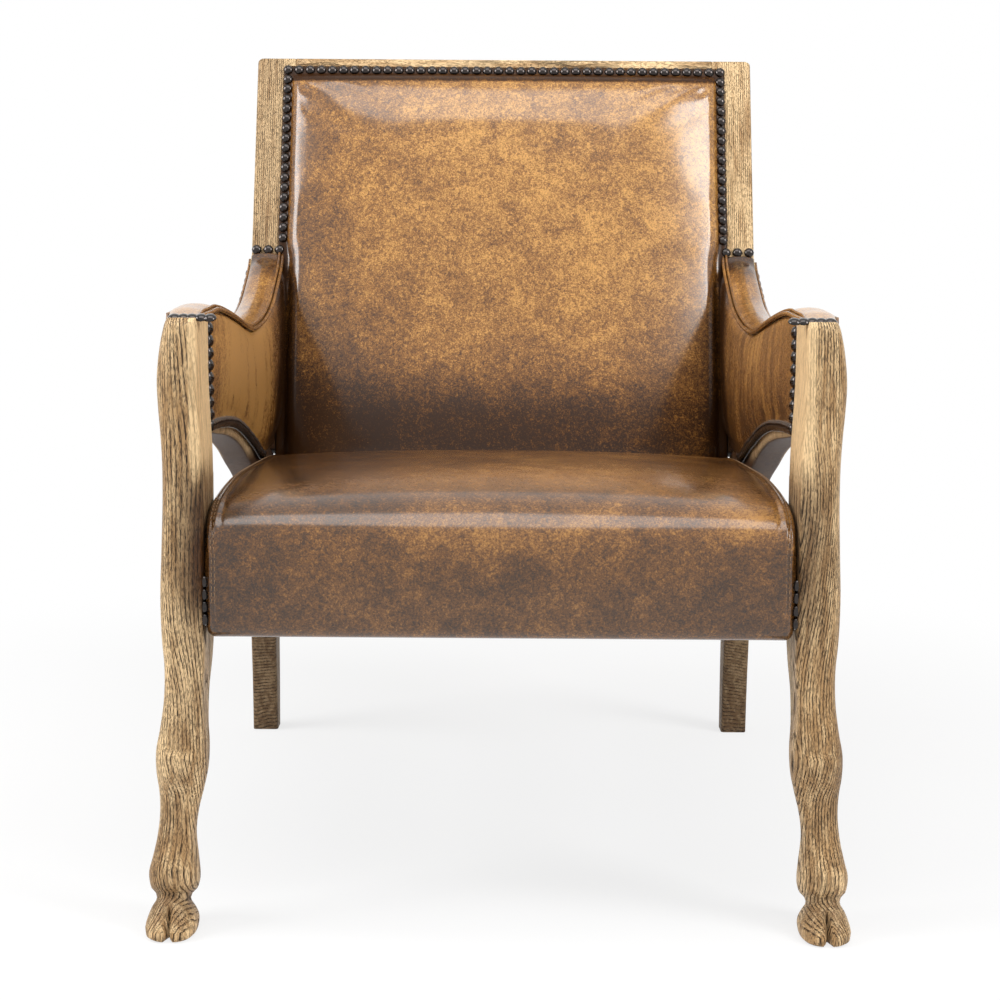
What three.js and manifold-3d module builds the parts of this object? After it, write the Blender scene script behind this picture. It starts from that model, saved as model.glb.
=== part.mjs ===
// An open armchair with carved goat legs, sabre rear legs and nailed leather upholstery.
// Millimetres, +Z up, the sitter looks along -Y. One side is described for +X and mirrored.
import * as THREE from 'three';
import { mergeVertices } from 'three/addons/utils/BufferGeometryUtils.js';
import Module from 'manifold-3d';

const wasm = await Module();
wasm.setup();

// Clearances shared by every joint
const fit_gap = 0.3;
const cut_overrun = 60;
const weld_share = 0.01;

// Side frames, measured from the middle of the chair
const side_inner_x = 308;
const side_thickness = 35;
const side_outer_x = side_inner_x + side_thickness;
const arm_height = 634;
const leg_depth = 76;

// Back frame. The pivot is the foot of the stiles' front edge
const back_recline = THREE.MathUtils.degToRad(18.5);
const back_pivot_y = 625.8;
const back_pivot_z = 420;
const back_height = 555;
const stile_width = 53.4;
const stile_taper = 3;
const stile_depth = 38;
const stile_chamfer = 2.5;
const stile_tenon_length = 30;
const stile_inner_x = side_outer_x - stile_width;
const frame_tenon_share = 0.34;
const top_rail_height = 44;
const rail_tenon_length = 20;
const lower_rail_drop = 8;
const lower_rail_height = 48;
const rail_chamfer = 1.5;

// Front leg. Each station is a share of the arm height, the reach of the inner and the outer
// face beyond the side frame as shares of its thickness, and the reach of the front face and
// the place of the back face as shares of the leg's depth
const seat_level_share = 0.24;
const leg_station_shares = [
  [0, -0.1, 0.53, 0.28, 0.53],
  [0.008, -0.08, 0.6, 0.32, 0.58],
  [0.019, -0.12, 0.52, 0.26, 0.6],
  [0.031, -0.24, 0.42, 0.15, 0.58],
  [0.044, -0.36, 0.32, 0.05, 0.55],
  [0.055, -0.22, 0.46, 0.06, 0.64],
  [0.07, -0.12, 0.54, 0.09, 0.74],
  [0.088, -0.1, 0.56, 0.09, 0.75],
  [0.11, -0.14, 0.47, 0.05, 0.75],
  [0.155, -0.2, 0.3, -0.03, 0.68],
  [0.19, -0.12, 0.23, -0.08, 0.64],
  [0.229, 0.05, 0.24, -0.07, 0.66],
  [0.26, 0.17, 0.3, 0, 0.71],
  [0.298, 0.21, 0.29, 0.05, 0.76],
  [0.333, 0.17, 0.17, 0.03, 0.79],
  [0.386, 0.14, 0.05, -0.04, 0.84],
  [0.44, 0.21, 0.04, -0.05, 0.92],
  [0.475, seat_level_share, 0.09, -0.03, 0.97],
  [0.544, seat_level_share, 0.12, 0, 1.03],
  [0.631, seat_level_share, 0.06, 0.01, 1.08],
  [0.71, seat_level_share, 0, 0.03, 1.11],
  [0.778, 0.23, 0, 0.03, 1.13],
  [0.817, 0.2, 0.04, 0.01, 1.13],
  [0.852, 0.17, 0.09, 0, 1.13],
  [0.9, 0.14, 0.12, 0, 1.13],
  [0.942, 0.14, 0.05, 0, 1.13],
  [0.975, 0.14, -0.06, -0.01, 1.13],
  [1, 0.13, -0.19, -0.05, 1.13],
];
const leg_squareness_shares = [
  2.6, 2.6, 2.5, 2.5, 2.5, 2.4, 2.4, 2.5, 2.5, 2.6, 2.7, 2.7, 2.8, 2.8,
  3, 3.2, 3.4, 3.8, 4.4, 4.8, 4.8, 4.8, 4.8, 4.8, 4.8, 4.6, 4.4, 4.4,
];
const leg_sides = 18;
const leg_flat_back_share = 0.74;
const cleft_width = 8;
const cleft_height = 27;
const cleft_depth_share = 0.18;

// Arched side rail and rear leg. Places along the side are shares of the run from the back
// of the front leg to the back's pivot, and heights are shares of the arm height
const arch_front_y = leg_depth + fit_gap;
const side_run = back_pivot_y - arch_front_y;
const rear_leg_chamfer = 3;
const rear_leg_lower_shares = [
  [0, 0.801], [0.08, 0.796], [0.163, 0.785], [0.316, 0.765], [0.447, 0.74], [0.544, 0.713],
  [0.656, 0.673], [0.786, 0.626], [0.877, 0.579], [0.953, 0.522], [1.019, 0.451],
  [1.077, 0.371], [1.117, 0.292], [1.146, 0.222], [1.179, 0.123], [1.211, 0],
];
const rail_upper_shares = [
  [0, 0.872], [0.085, 0.866], [0.174, 0.856], [0.332, 0.834], [0.469, 0.808], [0.573, 0.78],
  [0.696, 0.738], [0.837, 0.694],
];
const rear_leg_upper_shares = [
  [1.106, 0.544], [1.164, 0.429], [1.202, 0.326], [1.228, 0.237], [1.249, 0.126], [1.27, 0],
];
const stile_seat_lead = 14;
const foot_splay_shares = [0.01, 0.06, 0.1, 0.16, 0.2, 0.25];
const side_tenon_width = 13;
const side_tenon_length = 24;
const arch_tenon_shares = [0.817, 0.855];
const arm_tenon_shares = [0.967, 0.989];

// Arm line: the welt along the inner edge of the arm pad
const arm_line_shares = [
  [-0.105, 1.001], [0.029, 1.001], [0.08, 1.002], [0.143, 0.998], [0.271, 0.984], [0.389, 0.968],
  [0.507, 0.95], [0.598, 0.939], [0.704, 0.939], [0.844, 0.95], [0.953, 0.971], [1.035, 1.001],
  [1.099, 1.028], [1.137, 1.049], [1.156, 1.066],
];
const arm_top_z = arm_height * arm_line_shares[arm_line_shares.length - 1][1];
const arm_line_stations = 29;
const arm_pad_width = 39;
const arm_pad_inset = 4.6;
const arm_pad_crown = 12;
const arm_pad_front_share = 0.3;
const arm_pad_front_run_share = 0.1;
const arm_pad_rear_share = 0.3;
const arm_pad_rear_run_share = 0.1;
const arm_pad_section_shares = [
  [0, 0], [0, 0.2], [0.13, 0.6], [0.32, 0.9], [0.52, 1], [0.72, 0.94], [0.9, 0.62], [1, 0.2], [1, 0],
];
const arm_pad_inner_x = side_inner_x - arm_pad_inset;
const arm_rail_height = 26;
const welt_radius = 2.4;
const welt_sides = 8;

// Arm panels. The lower line is the edge of the bare wood of the arch
const panel_lower_shares = [
  [0, 0.812], [0.08, 0.809], [0.189, 0.801], [0.318, 0.787], [0.449, 0.762], [0.553, 0.735],
  [0.644, 0.71], [0.709, 0.689], [0.757, 0.675], [0.88, 0.674], [1.164, 0.674],
];
const panel_station_shares = [
  0, 0.034, 0.098, 0.189, 0.318, 0.449, 0.553, 0.644, 0.709, 0.757, 0.826, 0.898, 0.971, 1.035,
  1.09, 1.135, 1.153,
];
const panel_seat_gap = 4;
const line_samples_per_point = 8;
const inside_panel_thickness = 4.6;
const inside_panel_bulge = 9;
const panel_border = 14;
const panel_section_shares = [[0.1, 0.45], [0.28, 0.85], [0.52, 1], [0.78, 0.8], [0.93, 0.35]];
const outside_panel_thickness = 2.8;

// Back cover, measured up the back and square to it. Rows are shares of the height of the
// narrow and of the wide part, each with its share of the full edge depth
const back_cover_lap = 17.4;
const back_cover_half_width = stile_inner_x + back_cover_lap;
const back_cover_narrowing = 4;
const back_cover_low_half_width = back_cover_half_width - back_cover_narrowing;
const back_cover_bottom = -20;
const back_cover_step_lift = 0.6;
const back_cover_step = (arm_top_z - back_pivot_z) / Math.cos(back_recline) + back_cover_step_lift;
const back_cover_drop = 12;
const back_cover_top = back_height - back_cover_drop;
const back_cover_border = 2.5;
const back_cover_edge = 24;
const back_cover_crown = 9;
const back_low_row_shares = [[0, 1], [0.264, 1], [0.528, 1], [0.759, 1], [0.908, 1], [1, 1]];
const back_step_rise = 6;
const back_top_border = 13.3;
const back_high_row_shares = [
  [0, 1], [0.254, 1], [0.544, 1], [0.753, 0.98], [0.877, 0.92], [0.925, 0.8],
  [0.958, 0.6], [0.983, 0.25], [1, 0],
];
const back_wall_shares = [[0.957, 0], [0.942, 0.45], [0.918, 0.74], [0.865, 0.93], [0.72, 1.06]];
const back_crown_shares = [[0.45, 0.75], [0.2, 0.96], [0, 1]];
const back_centre_share = 1.1;
const back_cover_depth = fit_gap + back_cover_border + back_centre_share * back_cover_edge + back_cover_crown;
const back_cavity_margin = 31;
const back_cavity_drop = 21;
const back_cavity_shoulder_share = 0.8;
const back_cavity_fill_share = 0.72;
const back_cavity_top_share = 0.3;
const back_webbing_shares = [0.27, 0.486, 0.703];
const back_webbing_margin = 24.4;

// Seat frame and its suspension
const rail_bottom_z = 318;
const rail_height = 54;
const rail_top_z = rail_bottom_z + rail_height;
const front_rail = { front_y: 22, back_y: 50 };
const rear_rail = { front_y: 628, back_y: 654 };
const side_rail_thickness = 26;
const side_rail_inset = 14;
const seat_tenon_length = 22;
const seat_tenon_inset = 7;
const seat_tenon_margin = 12;
const corner_block_leg = 52;
const webbing_thickness = 2;
const webbing_width = 50;
const webbing_bearing = 20;
const seat_webbing_count = 4;
const dust_cover_thickness = 1.2;
const dust_cover_edge = 3;

// Seat cover. Each station is a share of its depth, the rise of its bottom edge and the drop
// of its top edge as shares of its thickness, its width share and its crown share
const seat_cover_skin = 2.6;
const seat_leg_clearance = 1.6;
const seat_front_y = -4;
const seat_tuck = 0.8;
const seat_rear_y = back_pivot_y - back_cover_depth * Math.cos(back_recline)
  + back_cover_bottom * Math.sin(back_recline) + seat_tuck;
const seat_depth = seat_rear_y - seat_front_y;
const seat_bottom_z = 308.5;
const seat_top_z = 449;
const seat_crown = 7;
const seat_edge_radius = 10;
const seat_side_bulge = 1.2;
const seat_seam_in = 11;
const seat_seam_depth = 1;
const seat_half_width = side_inner_x - side_thickness * seat_level_share - seat_leg_clearance;
const seat_station_shares = [
  [0, 0.168, 0.378, 0.975, 0.11],
  [0.0034, 0.084, 0.28, 0.985, 0.2],
  [0.0119, 0.035, 0.196, 0.993, 0.3],
  [0.0272, 0.007, 0.119, 0.997, 0.45],
  [0.0527, 0, 0.063, 0.999, 0.6],
  [0.0918, 0, 0.028, 1, 0.7],
  [0.1599, 0, 0.005, 1, 0.85],
  [0.2619, 0, 0, 1.008, 1],
  [0.398, 0, 0.017, 1.016, 1],
  [0.551, 0, 0.056, 1.018, 1],
  [0.7211, 0, 0.105, 1.018, 0.9],
  [0.8571, 0, 0.15, 1.015, 0.78],
  [0.9626, 0, 0.217, 1.007, 0.67],
  [0.9898, 0, 0.262, 0.998, 0.5],
  [1, 0, 0.308, 0.987, 0.3],
];
const seat_hollow_from_station = 2;
const seat_corner_share = 0.3;
const seat_crown_shares = [[0.75, 0.55], [0.45, 0.85]];

// Rear border over the rear seat rail
const rear_border_thickness = 2.5;
const rear_border_rise = 28;

// Outside back
const outside_back_thickness = 2.5;
const outside_back_drop = 14;

// Domed nails, each row on its strip
const nail_radius = 6.2;
const nail_height = 4.4;
const strip_half_width = 2;
const strip_height = 1.2;
const nail_pitch = 14;
const small_nail_pitch = 13;
const arm_front_nail_pitch = 11;
const outside_nail_pitch = 18;
const route_step_share = 0.25;
const back_nail_in = 6.5;
const back_nail_lead = 9;
const stile_nail_inset = 5;
const arm_front_nail_setback = 65;
const panel_nail_in = 7;
const panel_nail_end_share = 0.786;
const seat_nail_in = 5.7;
const seat_nail_bottom_z = 322;
const seat_nail_run = 56;
const outside_top_nail_drop = 9;
const outside_back_nail_in = 8;

// Finishes
const oak = { color: 0xb79468, roughness: 0.72, metalness: 0 };
const hidden_wood = { color: 0xc9b083, roughness: 0.85, metalness: 0 };
const leather = { color: 0x96602f, roughness: 0.38, metalness: 0 };
const bronze = { color: 0x2e2622, roughness: 0.35, metalness: 0.9 };
const jute = { color: 0xa08a62, roughness: 0.95, metalness: 0 };
const foam = { color: 0xe6d9b4, roughness: 0.95, metalness: 0 };
const black_cloth = { color: 0x24211f, roughness: 0.95, metalness: 0 };

const backMatrix = new THREE.Matrix4()
  .makeTranslation(0, back_pivot_y, back_pivot_z)
  .multiply(new THREE.Matrix4().makeRotationX(-back_recline));

// Places on a side, as y and z
const onSide = ([along, up]) => [arch_front_y + along * side_run, up * arm_height];
const arm_line = arm_line_shares.map(onSide);
const panel_lower_line = panel_lower_shares.map(onSide);
const tenonHeights = (shares) => shares.map((share) => share * arm_height);

// Solids

function signedVolume(positions, index) {
  const [a, b, c] = [new THREE.Vector3(), new THREE.Vector3(), new THREE.Vector3()];
  let sum = 0;
  for (let i = 0; i < index.length; i += 3) {
    a.fromArray(positions, index[i] * 3);
    b.fromArray(positions, index[i + 1] * 3);
    c.fromArray(positions, index[i + 2] * 3);
    sum += a.dot(b.cross(c));
  }
  return sum;
}

// Triangles that close a flat ring, seen along the axis that its plane faces most
function capFaces(ring) {
  const normal = new THREE.Vector3();
  ring.forEach((p, i) => normal.add(p.clone().cross(ring[(i + 1) % ring.length])));
  const facing_share = normal.toArray().map(Math.abs);
  const dropped = facing_share.indexOf(Math.max(...facing_share));
  const [u, v] = [0, 1, 2].filter((axis) => axis !== dropped);
  const outline = ring.map((p) => new THREE.Vector2(p.getComponent(u), p.getComponent(v)));
  return THREE.ShapeUtils.triangulateShape(outline, []);
}

// A closed solid through rings that all have the same number of points
function loft(rings) {
  const count = rings[0].length;
  const positions = rings.flat().flatMap((p) => p.toArray());
  const index = [];
  for (let i = 0; i < rings.length - 1; i += 1) {
    for (let j = 0; j < count; j += 1) {
      const a = i * count + j;
      const b = i * count + ((j + 1) % count);
      index.push(a, b, b + count, a, b + count, a + count);
    }
  }
  const last = (rings.length - 1) * count;
  const edge = new Set();
  for (let j = 0; j < count; j += 1) edge.add(`${j},${(j + 1) % count}`);
  for (const [ring, offset, forward] of [[rings[0], 0, false], [rings[rings.length - 1], last, true]]) {
    const faces = capFaces(ring);
    const [p, q, r] = faces[0];
    const runs = [[p, q], [q, r], [r, p]].some(([m, n]) => edge.has(`${m},${n}`));
    const keep = runs === forward;
    for (const [a, b, c] of faces) {
      index.push(offset + a, offset + (keep ? b : c), offset + (keep ? c : b));
    }
  }
  if (signedVolume(positions, index) < 0) index.reverse();
  const geometry = new THREE.BufferGeometry();
  geometry.setAttribute('position', new THREE.Float32BufferAttribute(positions, 3));
  geometry.setIndex(index);
  return geometry;
}

function toManifold(geometry) {
  const bare = geometry.clone();
  bare.deleteAttribute('normal');
  bare.deleteAttribute('uv');
  const merged = mergeVertices(bare, fit_gap * weld_share);
  return new wasm.Manifold(new wasm.Mesh({
    numProp: 3,
    vertProperties: merged.attributes.position.array,
    triVerts: new Uint32Array(merged.index.array),
  }));
}

function fromManifold(solid) {
  const mesh = solid.getMesh();
  const geometry = new THREE.BufferGeometry();
  geometry.setAttribute('position', new THREE.BufferAttribute(mesh.vertProperties, 3));
  geometry.setIndex(new THREE.BufferAttribute(mesh.triVerts, 1));
  return geometry;
}

function cut(body, ...tools) {
  return fromManifold(tools.reduce((left, tool) => left.subtract(toManifold(tool)), toManifold(body)));
}

function join(body, ...others) {
  return fromManifold(others.reduce((sum, other) => sum.add(toManifold(other)), toManifold(body)));
}

function box([x0, x1], [y0, y1], [z0, z1]) {
  return new THREE.BoxGeometry(x1 - x0, y1 - y0, z1 - z0)
    .translate((x0 + x1) / 2, (y0 + y1) / 2, (z0 + z1) / 2);
}

// A box with its four long edges along X eased
function easedBar([x0, x1], [y0, y1], [z0, z1], ease) {
  const ring = (x) => [
    [y0 + ease, z0], [y1 - ease, z0], [y1, z0 + ease], [y1, z1 - ease],
    [y1 - ease, z1], [y0 + ease, z1], [y0, z1 - ease], [y0, z0 + ease],
  ].map(([y, z]) => new THREE.Vector3(x, y, z));
  return loft([ring(x0), ring(x1)]);
}

function onBack(geometry) {
  return geometry.clone().applyMatrix4(backMatrix);
}

// Everything behind the plane of the stiles' front, moved forward by a distance
function behindStiles(forward) {
  const reach = back_height + cut_overrun;
  return onBack(box([0, side_outer_x + cut_overrun], [-forward, reach], [-reach, reach]));
}

function heightOn(line, y) {
  const curve = new THREE.SplineCurve(line.map(([py, pz]) => new THREE.Vector2(py, pz)));
  const points = curve.getPoints(line.length * line_samples_per_point);
  for (let i = 1; i < points.length; i += 1) {
    if (points[i].x >= y || i === points.length - 1) {
      const share = (y - points[i - 1].x) / (points[i].x - points[i - 1].x);
      return points[i - 1].y + share * (points[i].y - points[i - 1].y);
    }
  }
  return points[0].y;
}

// Front leg

function legRing([up, inward, outward, forward, back], index) {
  const inner = side_inner_x - inward * side_thickness;
  const outer = side_outer_x + outward * side_thickness;
  const front_y = -forward * leg_depth;
  const back_y = back * leg_depth;
  const power = 2 / leg_squareness_shares[index];
  const ring = [];
  for (let i = 0; i < leg_sides; i += 1) {
    const angle = ((i + 0.5) / leg_sides) * 2 * Math.PI;
    const across = Math.sign(Math.cos(angle)) * Math.abs(Math.cos(angle)) ** power;
    const along = Math.sign(Math.sin(angle)) * Math.abs(Math.sin(angle)) ** power;
    const x = (inner + outer) / 2 + (across * (outer - inner)) / 2;
    const y = (front_y + back_y) / 2 + (along * (back_y - front_y)) / 2;
    ring.push(new THREE.Vector3(x, y, up * arm_height));
  }
  return ring;
}

function hoofCleft() {
  const [, inward, outward, forward] = leg_station_shares[1];
  const middle = (side_inner_x + side_outer_x + (outward - inward) * side_thickness) / 2;
  const wedge = (y) => [
    new THREE.Vector3(middle - cleft_width / 2, y, -fit_gap),
    new THREE.Vector3(middle + cleft_width / 2, y, -fit_gap),
    new THREE.Vector3(middle, y, cleft_height),
  ];
  return loft([wedge(-forward * leg_depth - cut_overrun), wedge(cleft_depth_share * leg_depth)]);
}

function tenonX() {
  const middle = (side_inner_x + side_outer_x) / 2;
  return [middle - side_tenon_width / 2, middle + side_tenon_width / 2];
}

function sideTenon(shares, back_reach) {
  return [tenonX(), [leg_depth - side_tenon_length, leg_depth + back_reach], tenonHeights(shares)];
}

function mortise([x0, x1], [y0, y1], [z0, z1]) {
  return box([x0 - fit_gap, x1 + fit_gap], [y0 - fit_gap, y1 + fit_gap], [z0 - fit_gap, z1 + fit_gap]);
}

function seatTenon(rail, from_x) {
  return [
    [from_x, from_x + seat_tenon_length],
    [rail.front_y + seat_tenon_inset, rail.back_y - seat_tenon_inset],
    [rail_bottom_z + seat_tenon_margin, rail_top_z - seat_tenon_margin],
  ];
}

function frontLeg() {
  const flat_back = box(
    [0, side_outer_x + cut_overrun],
    [leg_depth, leg_depth + cut_overrun],
    [leg_flat_back_share * arm_height, arm_height + cut_overrun],
  );
  const [, y_range, z_range] = seatTenon(front_rail, 0);
  return cut(
    loft(leg_station_shares.map(legRing)),
    flat_back,
    hoofCleft(),
    mortise(...sideTenon(arch_tenon_shares, cut_overrun)),
    mortise(...sideTenon(arm_tenon_shares, cut_overrun)),
    mortise([0, seat_half_width + seat_tenon_length], y_range, z_range),
  );
}

// Rear leg with the arched side rail

// A point on the seat of the stile, as y and z
function onStileSeat(behind_front) {
  return [
    back_pivot_y + behind_front * Math.cos(back_recline),
    back_pivot_z - behind_front * Math.sin(back_recline),
  ];
}

function rearLegRing(lower, upper, splay) {
  const inner = side_inner_x + splay;
  const outer = side_outer_x + splay;
  const [low, high] = [new THREE.Vector2(...lower), new THREE.Vector2(...upper)];
  const ease = rear_leg_chamfer / low.distanceTo(high);
  return [
    [inner, ease], [inner + rear_leg_chamfer, 0], [outer - rear_leg_chamfer, 0], [outer, ease],
    [outer, 1 - ease], [outer - rear_leg_chamfer, 1], [inner + rear_leg_chamfer, 1], [inner, 1 - ease],
  ].map(([x, share]) => {
    const p = low.clone().lerp(high, share);
    return new THREE.Vector3(x, p.x, p.y);
  });
}

function stileTenon() {
  const width = (side_outer_x - side_inner_x) * frame_tenon_share;
  const middle = (side_inner_x + side_outer_x) / 2;
  const depth = stile_depth * frame_tenon_share;
  return [
    [middle - width / 2, middle + width / 2],
    [(stile_depth - depth) / 2, (stile_depth + depth) / 2],
    [-stile_tenon_length, stile_chamfer],
  ];
}

function rearLeg() {
  const lower = rear_leg_lower_shares.map(onSide);
  const upper = [
    ...rail_upper_shares.map(onSide),
    onStileSeat(-stile_seat_lead),
    onStileSeat(stile_depth),
    ...rear_leg_upper_shares.map(onSide),
  ];
  const splays = foot_splay_shares.map((share) => share * side_thickness);
  const straight = lower.length - splays.length;
  const rings = lower.map((p, i) => rearLegRing(p, upper[i], i < straight ? 0 : splays[i - straight]));
  const [x_range, y_range, z_range] = stileTenon();
  const [, rail_y, rail_z] = seatTenon(rear_rail, 0);
  return cut(
    join(loft(rings), box(...sideTenon(arch_tenon_shares, side_tenon_length))),
    onBack(mortise(x_range, y_range, [z_range[0], cut_overrun])),
    mortise([0, side_inner_x + seat_tenon_length], rail_y, rail_z),
  );
}

// Back frame, in the frame of the raked back: y is depth and z runs up the stile

function frameTenonDepth() {
  const depth = stile_depth * frame_tenon_share;
  return [(stile_depth - depth) / 2, (stile_depth + depth) / 2];
}

// The heights that a rail's tenon keeps of the rail's own
function tenonWithin([bottom, top]) {
  const inset = (top - bottom) * (1 - frame_tenon_share) / 2;
  return [bottom + inset, top - inset];
}

function topRailHeights() {
  return [back_height - top_rail_height, back_height];
}

function lowerRailHeights() {
  return [-lower_rail_drop, lower_rail_height - lower_rail_drop];
}

function backStile() {
  const ring = (z, outer) => {
    const c = stile_chamfer;
    return [
      [stile_inner_x + c, 0], [outer - c, 0], [outer, c], [outer, stile_depth - c],
      [outer - c, stile_depth], [stile_inner_x + c, stile_depth],
      [stile_inner_x, stile_depth - c], [stile_inner_x, c],
    ].map(([x, y]) => new THREE.Vector3(x, y, z));
  };
  const post = loft([ring(fit_gap, side_outer_x), ring(back_height, side_outer_x - stile_taper)]);
  const reach = [0, stile_inner_x + rail_tenon_length];
  return cut(
    join(post, box(...stileTenon())),
    mortise(reach, frameTenonDepth(), tenonWithin(topRailHeights())),
    mortise(reach, frameTenonDepth(), tenonWithin(lowerRailHeights())),
  );
}

function backRail(z_range) {
  const shoulder = stile_inner_x - fit_gap;
  const end = stile_inner_x + rail_tenon_length;
  return join(
    easedBar([-shoulder, shoulder], [0, stile_depth], z_range, rail_chamfer),
    box([-end, end], frameTenonDepth(), tenonWithin(z_range)),
  );
}

// Seat frame

function crossRail(rail, shoulder_x, socket_x) {
  const [, y_range, z_range] = seatTenon(rail, shoulder_x);
  const end = socket_x + seat_tenon_length;
  return join(
    box([-shoulder_x, shoulder_x], [rail.front_y, rail.back_y], [rail_bottom_z, rail_top_z]),
    box([-end, end], y_range, z_range),
  );
}

function sideRailX() {
  const outer = side_inner_x - side_rail_inset;
  return [outer - side_rail_thickness, outer];
}

function cornerBlock(at_front) {
  const x = sideRailX()[0] - fit_gap;
  const y = at_front ? front_rail.back_y + fit_gap : rear_rail.front_y - fit_gap;
  const into = at_front ? 1 : -1;
  const level = (z) => [
    new THREE.Vector3(x, y, z),
    new THREE.Vector3(x - corner_block_leg, y, z),
    new THREE.Vector3(x, y + into * corner_block_leg, z),
  ];
  return loft([level(rail_bottom_z + seat_tenon_inset), level(rail_top_z - seat_tenon_inset)]);
}

// Seat upholstery

function seatStation([along, rise, drop, width, crown]) {
  const thickness = seat_top_z - seat_bottom_z;
  return {
    y: seat_front_y + along * seat_depth,
    bottom: seat_bottom_z + rise * thickness,
    top: seat_top_z - drop * thickness,
    half: width * seat_half_width,
    crown: crown * seat_crown,
  };
}

const seat_stations = seat_station_shares.map(seatStation);

// The outline of the cover, or with a skin that of the filling, which stays open below
function seatRing({ y, bottom, top, half, crown }, skin) {
  const w = half - skin;
  const r = seat_edge_radius;
  const corner = r * seat_corner_share;
  const z0 = skin > 0 ? bottom - cut_overrun : bottom;
  const z1 = top - skin;
  const right = [
    [w - r / 2, z0],
    [w, skin > 0 ? z0 : z0 + r / 2],
    [w + seat_side_bulge, (bottom + z1) / 2],
    [w, z1 - r],
    [w - corner, z1 - corner],
    [w - r, z1],
  ];
  if (skin === 0) {
    right.push([w - seat_seam_in + seat_seam_depth, z1 + seat_seam_depth / 2]);
    right.push([w - seat_seam_in, z1 - seat_seam_depth]);
    right.push([w - seat_seam_in - seat_seam_depth, z1 + seat_seam_depth / 2]);
  }
  for (const [x_share, rise_share] of seat_crown_shares) right.push([w * x_share, z1 + crown * rise_share]);
  const left = right.map(([x, z]) => [-x, z]).reverse();
  return [...right, [0, z1 + crown], ...left].map(([x, z]) => new THREE.Vector3(x, y, z));
}

// The hollow of the cover, open behind, or with no growth the filling that it takes
function seatCavity(grow) {
  const rings = seat_stations.slice(seat_hollow_from_station);
  const first = rings[0];
  const last = rings[rings.length - 1];
  const moved = [
    { ...first, y: first.y + seat_cover_skin - grow },
    ...rings.slice(1, -1),
    { ...last, y: last.y + cut_overrun },
  ];
  return loft(moved.map((station) => seatRing(station, seat_cover_skin + fit_gap - grow)));
}

function seatCover() {
  const [, y_range, z_range] = seatTenon(front_rail, 0);
  const tenon_way = mortise([-side_outer_x, side_outer_x], y_range, z_range);
  return cut(loft(seat_stations.map((station) => seatRing(station, 0))), seatCavity(fit_gap), tenon_way);
}

function seatFoam() {
  const whole_x = [-side_outer_x, side_outer_x];
  const end_y = seat_front_y + seat_depth;
  const past_end_y = end_y + 2 * cut_overrun;
  const webbing_top_z = rail_top_z + 2 * (webbing_thickness + fit_gap);
  return cut(
    seatCavity(0),
    box(whole_x, [front_rail.front_y - fit_gap, past_end_y], [0, webbing_top_z + fit_gap]),
    box(whole_x, [-cut_overrun, end_y], [0, rail_bottom_z]),
    box(whole_x, [end_y, past_end_y], [0, back_height]),
  );
}

// Back upholstery, in the frame of the raked back

function backSurface(depth_share, edge_share) {
  return -fit_gap - back_cover_border - edge_share * depth_share * back_cover_edge;
}

function backRing(z, edge_share, half) {
  const right = [[half, -fit_gap], [half, -fit_gap - back_cover_border]];
  for (const [x_share, depth_share] of back_wall_shares) {
    right.push([half * x_share, backSurface(depth_share, edge_share)]);
  }
  for (const [x_share, crown_share] of back_crown_shares) {
    const rise = crown_share * back_cover_crown * edge_share;
    right.push([half * x_share, backSurface(back_centre_share, edge_share) - rise]);
  }
  const left = right.slice(0, -1).map(([x, y]) => [-x, y]).reverse();
  return [...right, ...left].map(([x, y]) => new THREE.Vector3(x, y, z));
}

// The hollow of the cover, open behind and below, or with no growth the filling that it takes
function backCavity(grow) {
  const ring = (z, half_width, share) => {
    const half = half_width - back_cavity_margin + grow;
    const shoulder = half * back_cavity_shoulder_share;
    const rim = backSurface(share, 1) + seat_cover_skin - grow;
    const front = rim - back_cover_crown * share;
    const between = (rim + front) / 2;
    const rear = grow > 0 ? cut_overrun : -2 * fit_gap - webbing_thickness;
    return [
      [half, rear], [half, rim], [shoulder, between], [0, front],
      [-shoulder, between], [-half, rim], [-half, rear],
    ].map(([x, y]) => new THREE.Vector3(x, y, z));
  };
  const start = back_cover_bottom - (grow > 0 ? cut_overrun : 0);
  const top = back_cover_top - back_cavity_drop + grow;
  return loft([
    ring(start, back_cover_low_half_width, back_cavity_fill_share),
    ring(back_cover_step - back_cover_edge, back_cover_low_half_width, back_cavity_fill_share),
    ring(back_cover_step + back_cover_edge, back_cover_half_width, back_cavity_fill_share),
    ring(top - back_cover_edge, back_cover_half_width, back_cavity_fill_share),
    ring(top, back_cover_half_width, back_cavity_top_share),
  ]);
}

function backWebbing(share) {
  const half = back_cover_half_width - back_webbing_margin;
  const z = share * back_height;
  return [
    [-half, half],
    [-fit_gap - webbing_thickness, -fit_gap],
    [z - webbing_width / 2, z + webbing_width / 2],
  ];
}

function backCover() {
  const low_height = back_cover_step - back_cover_bottom;
  const high_bottom = back_cover_step + back_step_rise;
  const high_height = back_cover_top - back_top_border - high_bottom;
  const low = back_low_row_shares.map(([up, edge_share]) => (
    backRing(back_cover_bottom + up * low_height, edge_share, back_cover_low_half_width)));
  const high = back_high_row_shares.map(([up, edge_share]) => (
    backRing(high_bottom + up * high_height, edge_share, back_cover_half_width)));
  const top = backRing(back_cover_top, 0, back_cover_half_width);
  const slots = back_webbing_shares.map((share) => mortise(...backWebbing(share)));
  return cut(loft([...low, ...high, top]), backCavity(fit_gap), ...slots);
}

// Arms

function armFrames() {
  const curve = new THREE.SplineCurve(arm_line.map(([y, z]) => new THREE.Vector2(y, z)));
  const frames = [];
  for (let i = 0; i <= arm_line_stations; i += 1) {
    const share = i / arm_line_stations;
    const point = curve.getPointAt(share);
    const tangent = curve.getTangentAt(share);
    frames.push({ share, point, up: new THREE.Vector2(-tangent.y, tangent.x) });
  }
  return frames;
}

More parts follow.
